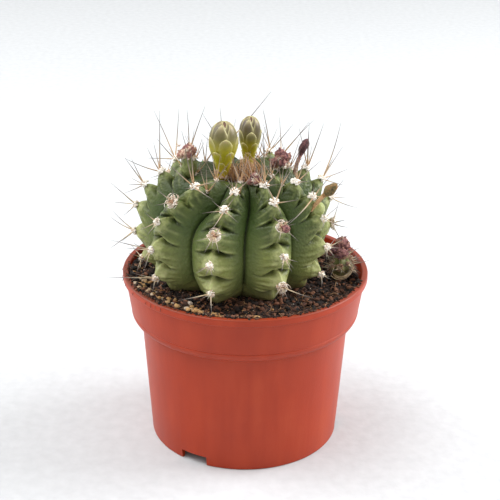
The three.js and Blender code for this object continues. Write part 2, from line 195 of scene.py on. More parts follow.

# Thermoformed polypropylene, satin: broad soft highlights, faint run marks and dust in its pores.
# Wet soil has stained the top of the lip; that darkening is also painted shade, dimming the light that falls
# on the up-facing lip.
polypropylene, shader, place = new_material(
    "terracotta_polypropylene", {"Roughness": 0.42, "IOR": 1.49, "Specular IOR Level": 0.36})
runs = add(polypropylene, "Mapping", {"Vector": place, "Scale": (1, 1, 0.12)})
streaks = add(polypropylene, "TexNoise", {"Vector": runs.outputs[0], "Scale": per_mm(5), "Detail": 4})
cloud = add(polypropylene, "TexNoise", {"Vector": place, "Scale": per_mm(22), "Detail": 3})
stipple = add(polypropylene, "TexNoise", {"Vector": place, "Scale": per_mm(0.5), "Detail": 2})
worn = add(polypropylene, "Math", {0: streaks.outputs[0], 1: cloud.outputs[0]}, operation="MULTIPLY")
tint = add(polypropylene, "ValToRGB", {0: worn.outputs[0]},
           stops=[(0.12, "#9d2f0e"), (0.3, "#a83614"), (0.5, "#b0401d")])
dust = add(polypropylene, "ValToRGB", {0: stipple.outputs[0]}, stops=[(0.71, "#000000"), (0.8, "#404040")])
above_ground = add(polypropylene, "SeparateXYZ", {0: place}).outputs["Z"]
# Soil stain and painted shade: the up-facing top of the lip is darkened in blotches.
lip_top = add(polypropylene, "MapRange", {0: above_ground, 1: (pot_height - 0.7) / 1000,
                                          2: (pot_height - 0.1) / 1000, 3: 0.0, 4: 1.5})
lip_dust_and_shade = add(polypropylene, "Math", {0: lip_top.outputs[0], 1: cloud.outputs[0]}, operation="MULTIPLY")
color = tint.outputs[0]
for amount, coat in ((dust, "#d98f74"), (lip_dust_and_shade, "#6e2f1b")):
    color = add(polypropylene, "Mix", {0: amount.outputs[0], 6: color, 7: linear(coat)},
                data_type="RGBA").outputs[2]
relief = add(polypropylene, "Math", {0: stipple.outputs[0], 1: streaks.outputs[0]}, operation="ADD")
color_and_bump(polypropylene, shader, color, relief.outputs[0], 0.035)
gloss = add(polypropylene, "MapRange", {0: cloud.outputs[0], 3: 0.36, 4: 0.5})
polypropylene.node_tree.links.new(gloss.outputs[0], shader.inputs["Roughness"])

pot = mesh_piece("nursery_pot", pot_points, pot_faces, polypropylene)
hole_depth = notch_size[1] - ring_width - wall
for azimuth in notch_azimuths:
    cuts = [((notch_size[0], notch_size[1] + 3, notch_size[2] + 2),
             foot + (3 - notch_size[1]) / 2, notch_size[2] / 2 - 1),
            ((notch_size[0], hole_depth, floor_top + 2),
             foot - notch_size[1] + hole_depth / 2, floor_top / 2)]
    for size, reach, height in cuts:
        corners = [(x * size[0] / 2, y * size[1] / 2 - reach, z * size[2] / 2 + height)
                   for x in (-1, 1) for y in (-1, 1) for z in (-1, 1)]
        sides = [(0, 1, 3, 2), (4, 6, 7, 5), (0, 4, 5, 1), (2, 3, 7, 6), (0, 2, 6, 4), (1, 5, 7, 3)]
        cutter = mesh_piece("notch_cutter", corners, sides, polypropylene)
        cutter.data.transform(Matrix.Rotation(math.radians(azimuth), 4, "Z"))
        cut = pot.modifiers.new("notch", "BOOLEAN")
        cut.operation = "DIFFERENCE"
        cut.object = cutter
        bpy.context.view_layer.update()
        carved = bpy.data.meshes.new_from_object(pot.evaluated_get(bpy.context.evaluated_depsgraph_get()))
        pot.modifiers.clear()
        pot.data = carved
        bpy.data.objects.remove(cutter)
pot.data.name = "nursery_pot"
pot.data.set_sharp_from_angle(angle=math.radians(35))
belongs(pot, "pot_plastic", "pot")

# ---- The soil ----
# Moist peat with coir fibre, bark crumbs, ochre clay grit and a few pale grains, pressed in by
# hand: it stands higher on the left, is banked up to the lip in front and heaped round the stem,
# and it tucks in under the stem's foot.
soil_level = pot_height - 3.3
soil_tilt = math.tan(math.radians(2.6))
stem_x, stem_y = -3.8, 0.0
soil_gap = 0.3  # between the soil and the pot
soil_edge = collar_top - wall - soil_gap
bank_width = 5  # of the strip along the lip in which the soil rises
stem_socket = 18.5  # the radius of the hollow that the stem's foot stands in


def soil_height(x, y):
    """The soil's level, with its lumps, the bank along the lip and the hollow for the stem."""
    level = soil_level - x * soil_tilt
    lumps = 1.5 * noise.fractal(Vector((x, y, 3.0)) / 9, 1.0, 2.0, 4)
    edge = np.clip((math.hypot(x, y) - soil_edge + bank_width) / bank_width, 0, 1)
    front = 0.5 - 0.5 * y / max(math.hypot(x, y), 1)
    from_stem = math.hypot(x - stem_x, y - stem_y)
    socket = np.clip((stem_socket - from_stem) / 5, 0, 1)
    heaped = 0.9 * math.exp(-((from_stem - 25) / 4) ** 2)
    return level + lumps * (1 - 0.5 * edge) + (3.5 * front ** 1.2 - 0.9) * edge + heaped - 5.5 * socket


class Heap:
    """Gathers many small shapes into one mesh."""

    def __init__(self):
        self.points, self.faces, self.marks = [], [], {}

    def add(self, points, faces, **marks):
        start = len(self.points)
        self.points.extend(points)
        self.faces.extend([tuple(start + i for i in face) for face in faces])
        for name, value in marks.items():
            values = np.broadcast_to(value, len(points))
            self.marks.setdefault(name, []).extend(values)

    def piece(self, name, material):
        return mesh_piece(name, self.points, self.faces, material, self.marks)


def ball(rings, turns):
    """Points and faces of a unit ball about Z."""
    outline = [(math.sin(math.pi * i / rings), -math.cos(math.pi * i / rings)) for i in range(rings + 1)]
    return turned(outline, turns)


def tube(path, radii, sides):
    """Points and faces of a round rod along a path, closed at both ends."""
    path = np.asarray(path, float)
    along = np.gradient(path, axis=0)
    along /= np.linalg.norm(along, axis=1)[:, None]
    start = np.cross(along[0], (0.3, 0.5, 0.81))
    across = start - along * (along @ start)[:, None]
    across /= np.linalg.norm(across, axis=1)[:, None]
    beside = np.cross(along, across)
    turns = np.arange(sides) * 2 * math.pi / sides
    rings = [p + r * (np.cos(turns)[:, None] * a + np.sin(turns)[:, None] * b)
             for p, r, a, b in zip(path, radii, across, beside)]
    faces = [(j * sides + i, j * sides + (i + 1) % sides,
              (j + 1) * sides + (i + 1) % sides, (j + 1) * sides + i)
             for j in range(len(path) - 1) for i in range(sides)]
    last = (len(path) - 1) * sides
    faces += [tuple(reversed(range(sides))), tuple(range(last, last + sides))]
    return np.concatenate(rings), faces


def crumb(rng, centre, size, stretch):
    """One rough grain: a ball of this radius pushed in and out, pulled long and turned at random."""
    points, faces = ball(4, 6)
    points = points * np.array([rng.uniform(0.62, 1.28) for _ in points])[:, None]
    shape = np.diag([stretch, 1, rng.uniform(0.5, 0.9)]) * size
    turn = Matrix.Rotation(rng.uniform(0, 6.3), 3, "Z") @ Matrix.Rotation(rng.uniform(-0.6, 0.6), 3, "X")
    return points @ shape @ np.array(turn).T + centre, faces


def on_soil(rng, azimuths=(0, 360), radii=(19, 39.2)):
    """A random place on the soil that the stem leaves free."""
    while True:
        azimuth = rng.uniform(*azimuths)
        radius = math.sqrt(rng.uniform(radii[0] ** 2, radii[1] ** 2))
        x, y = (outward(azimuth) * radius)[:2]
        if math.hypot(x - stem_x, y - stem_y) > stem_socket:
            return x, y


rng = random.Random(11)
soil_turns, soil_rings = 240, 66
radii = np.linspace(0.6, soil_edge, soil_rings)
soil_circle = outward(np.arange(soil_turns) * 360 / soil_turns)
soil_points = [(0, 0, soil_height(0, 0))]
for radius in radii:
    for x, y, _ in soil_circle * radius:
        soil_points.append((x, y, soil_height(x, y)))
side_outline = [(radius - soil_gap, height) for radius, height in reversed(shoulder(wall))]
side_outline += [(body_radius(floor_top) - wall - soil_gap, floor_top + soil_gap)]
for radius, height in side_outline:
    soil_points.extend(soil_circle * radius + (0, 0, height))
soil_points.append((0, 0, floor_top + soil_gap))
soil_faces = []
rows = soil_rings + len(side_outline)
for i in range(soil_turns):
    k = (i + 1) % soil_turns
    soil_faces.append((0, 1 + i, 1 + k))
    for j in range(rows - 1):
        a, b = 1 + j * soil_turns, 1 + (j + 1) * soil_turns
        soil_faces.append((a + i, b + i, b + k, a + k))
    last = 1 + (rows - 1) * soil_turns
    soil_faces.append((len(soil_points) - 1, last + k, last + i))

# Peat is a dark, open crumb of rotted moss: nearly black in its hollows, brown on its dry tops.
peat, shader, place, tone = new_material("moist_peat", {"Roughness": 0.92, "IOR": 1.5}, "tone")
grain = add(peat, "TexNoise", {"Vector": place, "Scale": per_mm(1.4), "Detail": 6, "Roughness": 0.7})
coarse = add(peat, "TexNoise", {"Vector": place, "Scale": per_mm(9), "Detail": 2})
mixed = add(peat, "Math", {0: grain.outputs[0], 1: tone}, operation="ADD")
brown = add(peat, "ValToRGB", {0: mixed.outputs[0]},
            stops=[(0.35, "#0d0907"), (0.58, "#21150f"), (0.8, "#513424"), (1.0, "#8d6850")])
red = add(peat, "Mix", {0: coarse.outputs[0], 6: brown.outputs[0], 7: linear("#6a3a22")},
          data_type="RGBA", blend_type="SOFT_LIGHT")
color_and_bump(peat, shader, red.outputs[2], grain.outputs[0], 0.5)
soil_bed = mesh_piece("soil_bed", soil_points, soil_faces, peat, {"tone": [0.05] * len(soil_points)})
belongs(soil_bed, "peat_soil", "potting_soil")

# Loose crumbs cover the bed, and some lie spilt on the lip, most of them on the front left.
crumb_limit = 39.2
crumbs = Heap()
for _ in range(4200):
    x, y = on_soil(rng)
    size = 0.22 + 0.75 * rng.random() ** 2.6
    centre = (x, y, soil_height(x, y) + size * 0.5)
    crumbs.add(*crumb(rng, centre, size, rng.uniform(1, 1.9)), tone=rng.gauss(0.19, 0.24))
for i in range(420):
    azimuth = rng.gauss(-38, 34) if i % 3 else rng.uniform(20, 75)
    x, y, _ = outward(azimuth) * rng.uniform(crumb_limit, 41.5)
    size = 0.12 + 0.42 * rng.random() ** 2.2
    centre = (x, y, pot_height + size * 0.3)
    crumbs.add(*crumb(rng, centre, size, rng.uniform(1, 1.9)), tone=rng.gauss(0.2, 0.2))
belongs(crumbs.piece("peat_crumbs", peat), "peat_soil", "potting_soil")

# Coir: the coarse brown hairs of the coconut husk, dry and slightly shiny. A few hang over the lip.
coir, shader, place, tone = new_material("coir_fibre", {"Roughness": 0.65, "IOR": 1.5}, "tone")
straw = add(coir, "ValToRGB", {0: tone}, stops=[(0.0, "#3b2417"), (0.6, "#7d5234"), (1.0, "#b58d62")])
fine = add(coir, "TexNoise", {"Vector": place, "Scale": per_mm(0.6)})
color_and_bump(coir, shader, straw.outputs[0], fine.outputs[0], 0.05)
fibres = Heap()
for i in range(340):
    front_right = i % 2 == 0
    x, y = on_soil(rng, (-10, 75) if front_right else (0, 360))
    length, heading = rng.uniform(1.5, 6.0), rng.uniform(0, 2 * math.pi)
    curl, lift = rng.uniform(-1.6, 1.6), rng.uniform(0.1, 0.9)
    path = []
    for step in np.linspace(0, 1, 7):
        path.append((x, y, soil_height(x, y) + 0.3 + lift * math.sin(math.pi * step)))
        x += math.cos(heading + curl * step) * length / 6
        y += math.sin(heading + curl * step) * length / 6
        limit = 39.4 / max(math.hypot(x, y), 39.4)
        x, y = x * limit, y * limit
    fibres.add(*tube(path, [rng.uniform(0.05, 0.11)] * 7, 4), tone=rng.random() ** 1.5)
for _ in range(9):
    azimuth, sway = rng.uniform(-88, -40), rng.uniform(-5, 5)
    path = [outward(azimuth + sway * step) * (39.5 + 3.4 * step)
            + (0, 0, pot_height + 0.3 + rng.uniform(0.4, 0.9) * math.sin(2.6 * step) - 2.4 * step ** 3)
            for step in np.linspace(0, 1, 8)]
    fibres.add(*tube(path, [0.09] * 8, 4), tone=rng.uniform(0.0, 0.4))
belongs(fibres.piece("coir_fibres", coir), "peat_soil", "potting_soil")

# Baked clay grit, ochre and dusty, with a few white grains of perlite among the peat.
grit, shader, place, tone = new_material("ochre_clay_grit", {"Roughness": 0.85, "IOR": 1.5}, "tone")
pores = add(grit, "TexNoise", {"Vector": place, "Scale": per_mm(0.7), "Detail": 5})
ochre = add(grit, "ValToRGB", {0: tone},
            stops=[(0.0, "#7a4c2c"), (0.45, "#bd8447"), (0.8, "#ddb377"), (1.0, "#efe9df")])
dirty = add(grit, "Mix", {0: pores.outputs[0], 6: ochre.outputs[0], 7: linear("#4a2f1d")},
            data_type="RGBA", blend_type="MULTIPLY")
color_and_bump(grit, shader, dirty.outputs[2], pores.outputs[0], 0.25)
# Each band of grains has a count, and a range of azimuths, of radii, of sizes and of tones.
grain_bands = [(44, (-80, -8), (32, 39.4), (0.5, 1.15), (0.5, 0.95)),
               (26, (-72, -10), (37.5, 39.9), (0.5, 1.1), (0.6, 0.95)),
               (110, (-100, 12), (28, 39), (0.2, 0.5), (0.4, 0.95)),
               (14, (-30, 20), (36, 39), (0.5, 0.9), (0.5, 0.9)),
               (60, (0, 360), (24, 39), (0.16, 0.34), (0.9, 1.0)),
               (44, (0, 360), (26, 39), (0.25, 0.6), (0.2, 0.7))]
grains = Heap()
for count, azimuths, radii, sizes, tones in grain_bands:
    for _ in range(count):
        x, y = on_soil(rng, azimuths, radii)
        size = rng.uniform(*sizes)
        centre = (x, y, soil_height(x, y) + size * 0.6)
        grains.add(*crumb(rng, centre, size, rng.uniform(1, 1.6)), tone=rng.uniform(*tones))
belongs(grains.piece("clay_grit", grit), "peat_soil", "potting_soil")

# ---- The stem ----
# The cactus's own body: a squat globe of nine ribs that sweep in to an off-centre crown. Each rib
# is a row of chinned lobes with an areole on each, parted by creases that run down its flanks.
ribs = [(-12.5, 12, 0), (28.3, 0, 4.5), (63, -3.5, -2), (103, -5, -5), (145, 2, 2),
        (187, 5, -4), (228, 3, 3), (267, 3, -8), (308.5, 15, 0)]  # azimuth, sweep, shift in degrees
levels = [-31, 0, 25.6, 46.7, 65.4]
crown_angle = 88
neck_angle = -78
sweep_level = 65.4
crown_x, crown_y = 0.7, -3.2
stem_radius = lip_radius - 9.3
widest_level = soil_level + 18.6
stem_rise, stem_drop = 22.0, 19.5
shoulder_fullness, base_fullness = 0.48, 0.3
crown_dip, crown_dip_radius = 4.6, 9.0
rib_depth = 6.9
lobe_swell = 2.5
lobe_tip = 1.1  # how far a lobe's tip stands out from the crest's outline
nose = 1.35  # how far up its lobe an areole sits: 1 would be half-way
crease_slope = 9.0  # how far a crease falls from the crest to the furrow, in degrees
fold_rng = random.Random(17)
fold_strength = [[fold_rng.uniform(0.35, 1.1) for _ in range(8)] for _ in range(2 * len(ribs))]


def smoothstep(value, low, high):
    share = np.clip((value - low) / (high - low), 0, 1)
    return share * share * (3 - 2 * share)


def crest(angle):
    """The crest's outline, as a radius and a height, at an angle up from the widest level."""
    turn = np.radians(angle)
    lower = angle < 0
    fullness = np.where(lower, base_fullness, shoulder_fullness)
    radius = stem_radius * np.maximum(np.cos(turn), 0) ** fullness
    height = widest_level + np.where(lower, stem_drop, stem_rise) * np.sin(turn)
    return radius, height - crown_dip * np.exp(-((radius / crown_dip_radius) ** 2))


def crest_normal(angle):
    low, high = crest(np.maximum(angle - 0.5, -89)), crest(np.minimum(angle + 0.5, 89.9))
    along = np.array([high[0] - low[0], high[1] - low[1]])
    along = along / np.hypot(along[0], along[1])
    return along[1], -along[0]


def middle(angle):
    climb = (np.maximum(angle, 0) / 90) ** 2
    return np.stack([stem_x + crown_x * climb, stem_y + crown_y * climb, 0 * climb], axis=-1)


def crest_azimuth(rib, angle):
    azimuth, sweep, _ = ribs[rib % len(ribs)]
    turn = 360 * (rib // len(ribs))
    return azimuth + turn + sweep * (np.maximum(angle, 0) / sweep_level) ** 2


lobe_ends = [-47] + [level + 0.4 * (above - level) for level, above in zip(levels, levels[1:] + [88])] + [88]


def lobe_place(angle):
    """The lobe that an angle lies in, and where: from 0 at the crease below to 1 at the one above."""
    ends = np.array(lobe_ends)
    index = np.clip(np.searchsorted(ends, angle, side="right") - 1, 0, len(ends) - 2)
    share = (angle - ends[index]) / (ends[index + 1] - ends[index])
    return index, np.clip(share, 0, 1)


def skin(rib, share, angle):
    """Points of the skin from a rib's crest, share 0, to the next one's, 1, and marks for colour."""
    start = crest_azimuth(rib, angle)
    azimuth = start + share * (crest_azimuth(rib + 1, angle) - start)
    off = np.minimum(share, 1 - share) * 2
    right = share < 0.5
    near = np.where(right, ribs[rib % len(ribs)][2], ribs[(rib + 1) % len(ribs)][2])
    index, lobe = lobe_place(angle - near + crease_slope * off ** 0.8)
    tooth = np.sin(math.pi * lobe ** nose) ** 0.6
    flank = 1 - smoothstep(off, 0.03, 0.52)
    body = smoothstep(angle, -62, -40) * (1 - smoothstep(angle, 74, 87))
    side = np.where(right, 2 * (rib % len(ribs)), 2 * ((rib + 1) % len(ribs)) + 1) % (2 * len(ribs))
    strength = np.array(fold_strength)[side, index]
    valley = np.minimum(lobe, 1 - lobe)
    fade = smoothstep(off, 0.18 + 0.24 * strength, 0.4 + 0.38 * strength)
    reach = smoothstep(off, 0.02, 0.16) * (1 - fade)
    cut = np.exp(-((valley / 0.075) ** 2)) * reach * strength * body
    second = np.exp(-(((lobe - 0.2 - 0.25 * strength) / 0.055) ** 2)) * reach * (1.1 - strength) * body
    wave = np.sin(angle * 0.95 + 7 * strength + 9 * off) * reach * body * (1 - smoothstep(angle, 20, 50))
    edge = np.exp(-(((lobe - 0.15) / 0.05) ** 2))
    edge = edge + 0.7 * np.exp(-(((lobe - 0.33 - 0.25 * strength) / 0.06) ** 2))
    edge = edge * reach * body * strength
    section = 1 - off ** 1.42
    depth = rib_depth * smoothstep(angle, -96, -58) * (1 - smoothstep(angle, 64, 88))
    furrow = np.exp(-(((1 - off) / 0.05) ** 2))
    ridge = np.exp(-((off / 0.08) ** 2))
    out = (lobe_tip - 2 * lobe_swell * (1 - tooth)) * flank * body - depth * (1 - section)
    out = out - 0.85 * cut - 0.45 * second + 0.13 * wave + 0.12 * edge
    out = out - 0.7 * furrow * smoothstep(angle, -70, -50) + 0.15 * ridge * body
    radius, height = crest(angle)
    level, rise = crest_normal(angle)
    points = outward(azimuth) * np.maximum(radius + level * out, 0.4)[..., None]
    points[..., 2] = height + rise * out
    # The ridge, edge and bulge marks carry painted highlights into the skin's colour; the furrow and crease
    # marks carry painted shade, and the flank mark a deeper green with painted shade.
    marks = {"ridge": ridge * body * (1 - 0.7 * tooth), "furrow": furrow,
             "flank": smoothstep(off, 0.35, 0.9) * body,
             "crease": cut + 0.7 * second, "edge": edge,
             "bulge": tooth * flank * body + 0.12 * reach * (1 - cut)}
    return points + middle(angle), marks


def seat(rib, angle):
    """Where something grows on a crest: the point, and the ways out, up the rib and to the right."""
    point = skin(rib, np.zeros(1), np.array([float(angle)]))[0][0]
    level, rise = crest_normal(angle)
    radial = outward(crest_azimuth(rib, angle))
    out = radial * level + (0, 0, rise)
    up = radial * -rise + (0, 0, level)
    return point, out, up, np.cross(up, out)


steps_per_rib, stem_rings = 64, 300
shares = np.arange(steps_per_rib) / steps_per_rib
angles = neck_angle + (crown_angle - neck_angle) * np.linspace(0, 1, stem_rings)
grid_share, grid_angle = np.meshgrid(shares, angles)
around = steps_per_rib * len(ribs)
columns = [skin(rib, grid_share, grid_angle) for rib in range(len(ribs))]
stem_points = np.concatenate([points for points, _ in columns], axis=1)
stem_marks = {mark: np.concatenate([marks[mark] for _, marks in columns], axis=1)
              for mark in columns[0][1]}
neck = stem_points[0] - (stem_x, stem_y, 0)
neck_floor = np.stack([neck[:, 0] * 0.85 + stem_x, neck[:, 1] * 0.85 + stem_y, neck[:, 2] - 4.2],
                      axis=-1)
stem_points = np.concatenate([neck_floor[None], stem_points]).reshape(-1, 3)
for i, point in enumerate(stem_points):
    wrinkle = noise.fractal(Vector((point[0], point[1], point[2] * 2.6)) / 3.2, 1.0, 2.0, 3)
    swell = noise.noise(Vector(point) / 9)
    away = point - (stem_x, stem_y, widest_level)
    stem_points[i] = point + away / np.linalg.norm(away) * (0.12 * wrinkle + 0.3 * swell)
crown_point = middle(90) + (0, 0, float(crest(90)[1]))
stem_points = np.concatenate([stem_points, [(stem_x, stem_y, neck_floor[0][2]), crown_point]])
stem_marks = {mark: np.concatenate([values[:1], values]).ravel() for mark, values in stem_marks.items()}
stem_marks = {mark: np.append(values, [0, 0]) for mark, values in stem_marks.items()}
stem_faces = []
for i in range(around):
    k = (i + 1) % around
    for j in range(stem_rings):
        a, b = j * around, (j + 1) * around
        stem_faces.append((a + i, a + k, b + k, b + i))
    stem_faces.append((len(stem_points) - 2, k, i))
    stem_faces.append((len(stem_points) - 1, stem_rings * around + i, stem_rings * around + k))

# Living cactus skin: thick, waxy and matt. Painted highlights make it pale and yellowish on crests and
# chins, its flanks are a deeper green with painted shade towards the furrows, painted shade makes the folds
# near black, and it is corky at the foot.
flesh, shader, place, ridge, bulge, flank, crease, furrow, fold_edge_highlight = new_material(
    "cactus_skin", {"Roughness": 0.43, "IOR": 1.45, "Specular IOR Level": 0.34, "Subsurface Weight": 0.08,
                    "Subsurface Radius": (0.4, 1.0, 0.2), "Subsurface Scale": 0.0015},
    "ridge", "bulge", "flank", "crease", "furrow", "edge")
blotch = add(flesh, "TexNoise", {"Vector": place, "Scale": per_mm(11), "Detail": 3})
mottle = add(flesh, "TexNoise", {"Vector": place, "Scale": per_mm(1.6), "Detail": 4})
pores = add(flesh, "TexVoronoi", {"Vector": place, "Scale": per_mm(0.9)})
green = add(flesh, "ValToRGB", {0: blotch.outputs[0]},
            stops=[(0.3, "#35431e"), (0.5, "#536030"), (0.7, "#737c3d")])
above_ground = add(flesh, "SeparateXYZ", {0: place}).outputs["Z"]
climb = add(flesh, "MapRange", {0: above_ground, 1: soil_level / 1000, 2: (soil_level + 38) / 1000})
grown = add(flesh, "ValToRGB", {0: climb.outputs[0]},
            stops=[(0.0, "#a3a16c"), (0.42, "#909355"), (0.72, "#555e35"), (1.0, "#3e4529")])
aged = add(flesh, "Mix", {0: 0.5, 6: green.outputs[0], 7: grown.outputs[0]}, data_type="RGBA")
# The flanks turn a deeper green towards the furrows: partly the skin's own colour, partly painted shade in
# the recess.
flank_green_and_shade = add(flesh, "Math", {0: flank, 1: 0.5}, operation="MULTIPLY")
# Painted highlight: the chins and bulges of the lobes are painted pale yellow, as if light caught them.
painted_chin_highlight = add(flesh, "Math", {0: bulge, 1: mottle.outputs[0]}, operation="MULTIPLY")
painted_chin_highlight = add(flesh, "MapRange", {0: painted_chin_highlight.outputs[0], 1: 0.2, 2: 0.56, 3: 0.0, 4: 0.8})
# Painted highlight: the crest ridges and the upper edges of the folds are painted pale, as if light caught
# them.
edge = add(flesh, "Math", {0: fold_edge_highlight, 1: mottle.outputs[0]}, operation="MULTIPLY")
edge = add(flesh, "Math", {0: edge.outputs[0], 1: ridge}, operation="MAXIMUM")
edge = add(flesh, "Math", {0: edge.outputs[0], 1: 0.8}, operation="MULTIPLY")
color = aged.outputs[2]
for amount, coat in ((flank_green_and_shade, "#3c522b"), (painted_chin_highlight, "#b0b27c"), (edge, "#bcbf86")):
    color = add(flesh, "Mix", {0: amount.outputs[0], 6: color, 7: linear(coat)}, data_type="RGBA").outputs[2]
# Painted shade: the stem is darkened towards the crown, where the ribs shade one another.
shade = add(flesh, "ValToRGB", {0: climb.outputs[0]},
            stops=[(0.35, "#ffffff"), (0.6, "#f0f3ea"), (0.82, "#dfe6d6"), (1.0, "#c2cbb4")])
color = add(flesh, "Mix", {0: 1.0, 6: color, 7: shade.outputs[0]}, data_type="RGBA",
            blend_type="MULTIPLY").outputs[2]
# Painted shade: the creases and furrows are painted near black, where shade falls in them.
folds = add(flesh, "Math", {0: crease, 1: furrow}, operation="MAXIMUM")
folds = add(flesh, "Math", {0: folds.outputs[0], 1: 0.75}, operation="MULTIPLY")
cork = add(flesh, "MapRange", {0: above_ground, 1: (soil_level - 1) / 1000,
                               2: (soil_level + 4.5) / 1000, 3: 0.9, 4: 0.0})
speck = add(flesh, "ValToRGB", {0: pores.outputs["Distance"]}, stops=[(0.05, "#303030"), (0.22, "#000000")])
for amount, coat in ((folds, "#121a0b"), (cork, "#6b5a3a"), (speck, "#9fb083")):
    color = add(flesh, "Mix", {0: amount.outputs[0], 6: color, 7: linear(coat)}, data_type="RGBA").outputs[2]
rough = add(flesh, "Math", {0: mottle.outputs[0], 1: pores.outputs["Distance"]}, operation="ADD")
color_and_bump(flesh, shader, color, rough.outputs[0], 0.14)
stem = mesh_piece("cactus_body", stem_points, stem_faces, flesh, stem_marks)
belongs(stem, "green_flesh", "cactus_stem")


def lobe(name, centre, size, ridge):
    """A swollen lobe of the stem, as a slightly ribbed ball; ridge is how pale it is."""
    points, faces = ball(24, 32)
    ribbed = 1 + 0.035 * np.sin(5 * np.arctan2(points[:, 1], points[:, 0]))
    # Its ridge and bulge marks give the lobe the skin's painted highlight.
    marks = {"ridge": [ridge] * len(points), "bulge": [1.0] * len(points)}
    piece = mesh_piece(name, points * ribbed[:, None] * size + centre, faces, flesh, marks)
    belongs(piece, "green_flesh", "cactus_stem")


# The third rib has a round pale knob beside its crest, on the right. The eighth has a tall lobe near
# the crown, on the left, under its dried flower.
root, out, up, right = seat(2, 32)
lobe("knob_lobe", root + out * 2.2 + right * 2.6, (2.7, 2.7, 2.7), 0.7)
root, out, up, right = seat(7, 77)
lobe("flower_lobe", root + out * 0.6 + up * 0.4, (2.7, 2.7, 4.4), 0.1)

# ---- The areoles and their spines ----
# Each areole is a cushion of cream wool from which a star of hard spines grows. The old ones on
# the flanks have short spines, the young ones by the crown have long ones that curve upwards.
# Each spine in the list has its clock angle, 0 towards the crown, its lean and its length in mm.
star_clocks = [-150, -100, -45, 40, 105, 160]
star_lengths = [8.0, 7.5, 8.0, 12.0, 17.0]
star_leans = [62, 60, 58, 38, 24]
own_spines = {
    (1, 1): [(-80, 55, 12), (-55, 30, 4.5), (150, 25, 7.5), (175, 50, 4)],
    (1, 2): [(-110, 42, 6), (-95, 35, 4.5), (-170, 35, 4), (140, 40, 4.5), (100, 45, 4)],
    (1, 3): [(-115, 62, 7), (-160, 55, 7.5), (175, 45, 6), (150, 50, 8), (80, 60, 5.5), (35, 60, 5)],
    (1, 4): [(-110, 62, 7.5), (130, 72, 7), (50, 45, 8.5), (-160, 72, 10.5), (-60, 60, 5), (90, 55, 4)],
    (1, 5): [(75, 50, 9), (-100, 40, 5.5), (-60, 15, 6.5), (-150, 80, 8), (30, 30, 7)],
    (2, 1): [(-105, 60, 5), (95, 40, 11.5), (-150, 35, 4), (160, 55, 4.5)],
    (2, 2): [(115, 35, 5), (-175, 35, 6), (-130, 50, 6), (-50, 65, 4), (160, 40, 5)],
    (2, 3): [(-45, 62, 6.5), (50, 35, 6), (150, 60, 7.5), (-140, 60, 7), (90, 55, 4.5), (-95, 55, 4.5)],
    (2, 4): [(110, 60, 8), (-35, 50, 11.5), (25, 32, 16), (-170, 65, 6.5), (-80, 60, 5)],
    (2, 5): [(-70, 35, 8), (-30, 20, 12), (90, 40, 9), (0, 22, 18), (150, 60, 6)],
    (3, 1): [(-110, 55, 4.5), (-35, 30, 4.5), (-160, 60, 4.5), (120, 60, 6)],
    (3, 2): [(60, 45, 8), (110, 55, 5), (-120, 70, 5), (170, 55, 5)],
    (3, 3): [(-45, 60, 5), (60, 50, 6), (-110, 75, 5.5), (150, 55, 6)],
    (3, 4): [(-98, 87, 24), (-30, 45, 6), (60, 40, 9), (120, 60, 7)],
    (3, 5): [(60, 30, 10), (100, 50, 11), (-160, 50, 6), (-10, 20, 13), (20, 38, 8)],
    (4, 3): [(155, 30, 7), (-175, 45, 11), (40, 35, 8), (110, 55, 8)],
    (4, 4): [(40, 32, 20.5), (80, 34, 14), (-25, 35, 9), (130, 50, 13), (170, 60, 9)],
    (4, 5): [(10, 28, 15), (-10, 10, 16), (-40, 40, 17), (30, 42, 14), (90, 50, 9)],
    (5, 4): [(55, 25, 14), (-95, 18, 15.5), (-60, 35, 17), (150, 50, 9)],
    (5, 5): [(20, 25, 16), (-90, 35, 12), (0, 40, 11), (100, 45, 9)],
    (6, 5): [(-80, 46, 25), (60, 35, 14), (10, 20, 15), (150, 50, 10)],
    (7, 4): [(-95, 12, 19), (-55, 35, 18), (60, 45, 11), (150, 55, 10)],
    (7, 5): [(5, 18, 16), (60, 25, 9), (-20, 32, 17), (-100, 45, 10)],
    (8, 2): [(-35, 40, 10), (-60, 30, 11), (175, 35, 11), (110, 55, 7)],
    (8, 3): [(-45, 28, 11.5), (-125, 35, 9), (40, 45, 7), (150, 60, 6)],
    (8, 4): [(10, 32, 10), (120, 40, 6), (145, 58, 8), (30, 30, 12), (-120, 50, 7)],
    (8, 5): [(-5, 33, 20), (65, 20, 10), (150, 38, 13), (-70, 40, 10)],
    (9, 1): [(-30, 42, 8.5), (-45, 35, 16), (150, 45, 5)],
    (9, 2): [(-50, 32, 13.5), (-15, 28, 7), (165, 35, 6), (145, 50, 7.5), (-90, 45, 8)],
    (9, 3): [(-160, 40, 8), (155, 50, 6.5), (-60, 45, 5), (60, 50, 5)],
    (9, 4): [(-85, 28, 7), (-165, 45, 6.5), (160, 62, 5), (20, 40, 5), (90, 50, 4)],
    (9, 5): [(-110, 35, 13), (75, 72, 13), (112, 84, 12.5), (-15, 22, 14), (-40, 20, 14), (170, 60, 6)],
}
nests = {(1, 3), (2, 3), (2, 1), (9, 4), (5, 3), (6, 2), (7, 3), (4, 2)}  # old flower scars

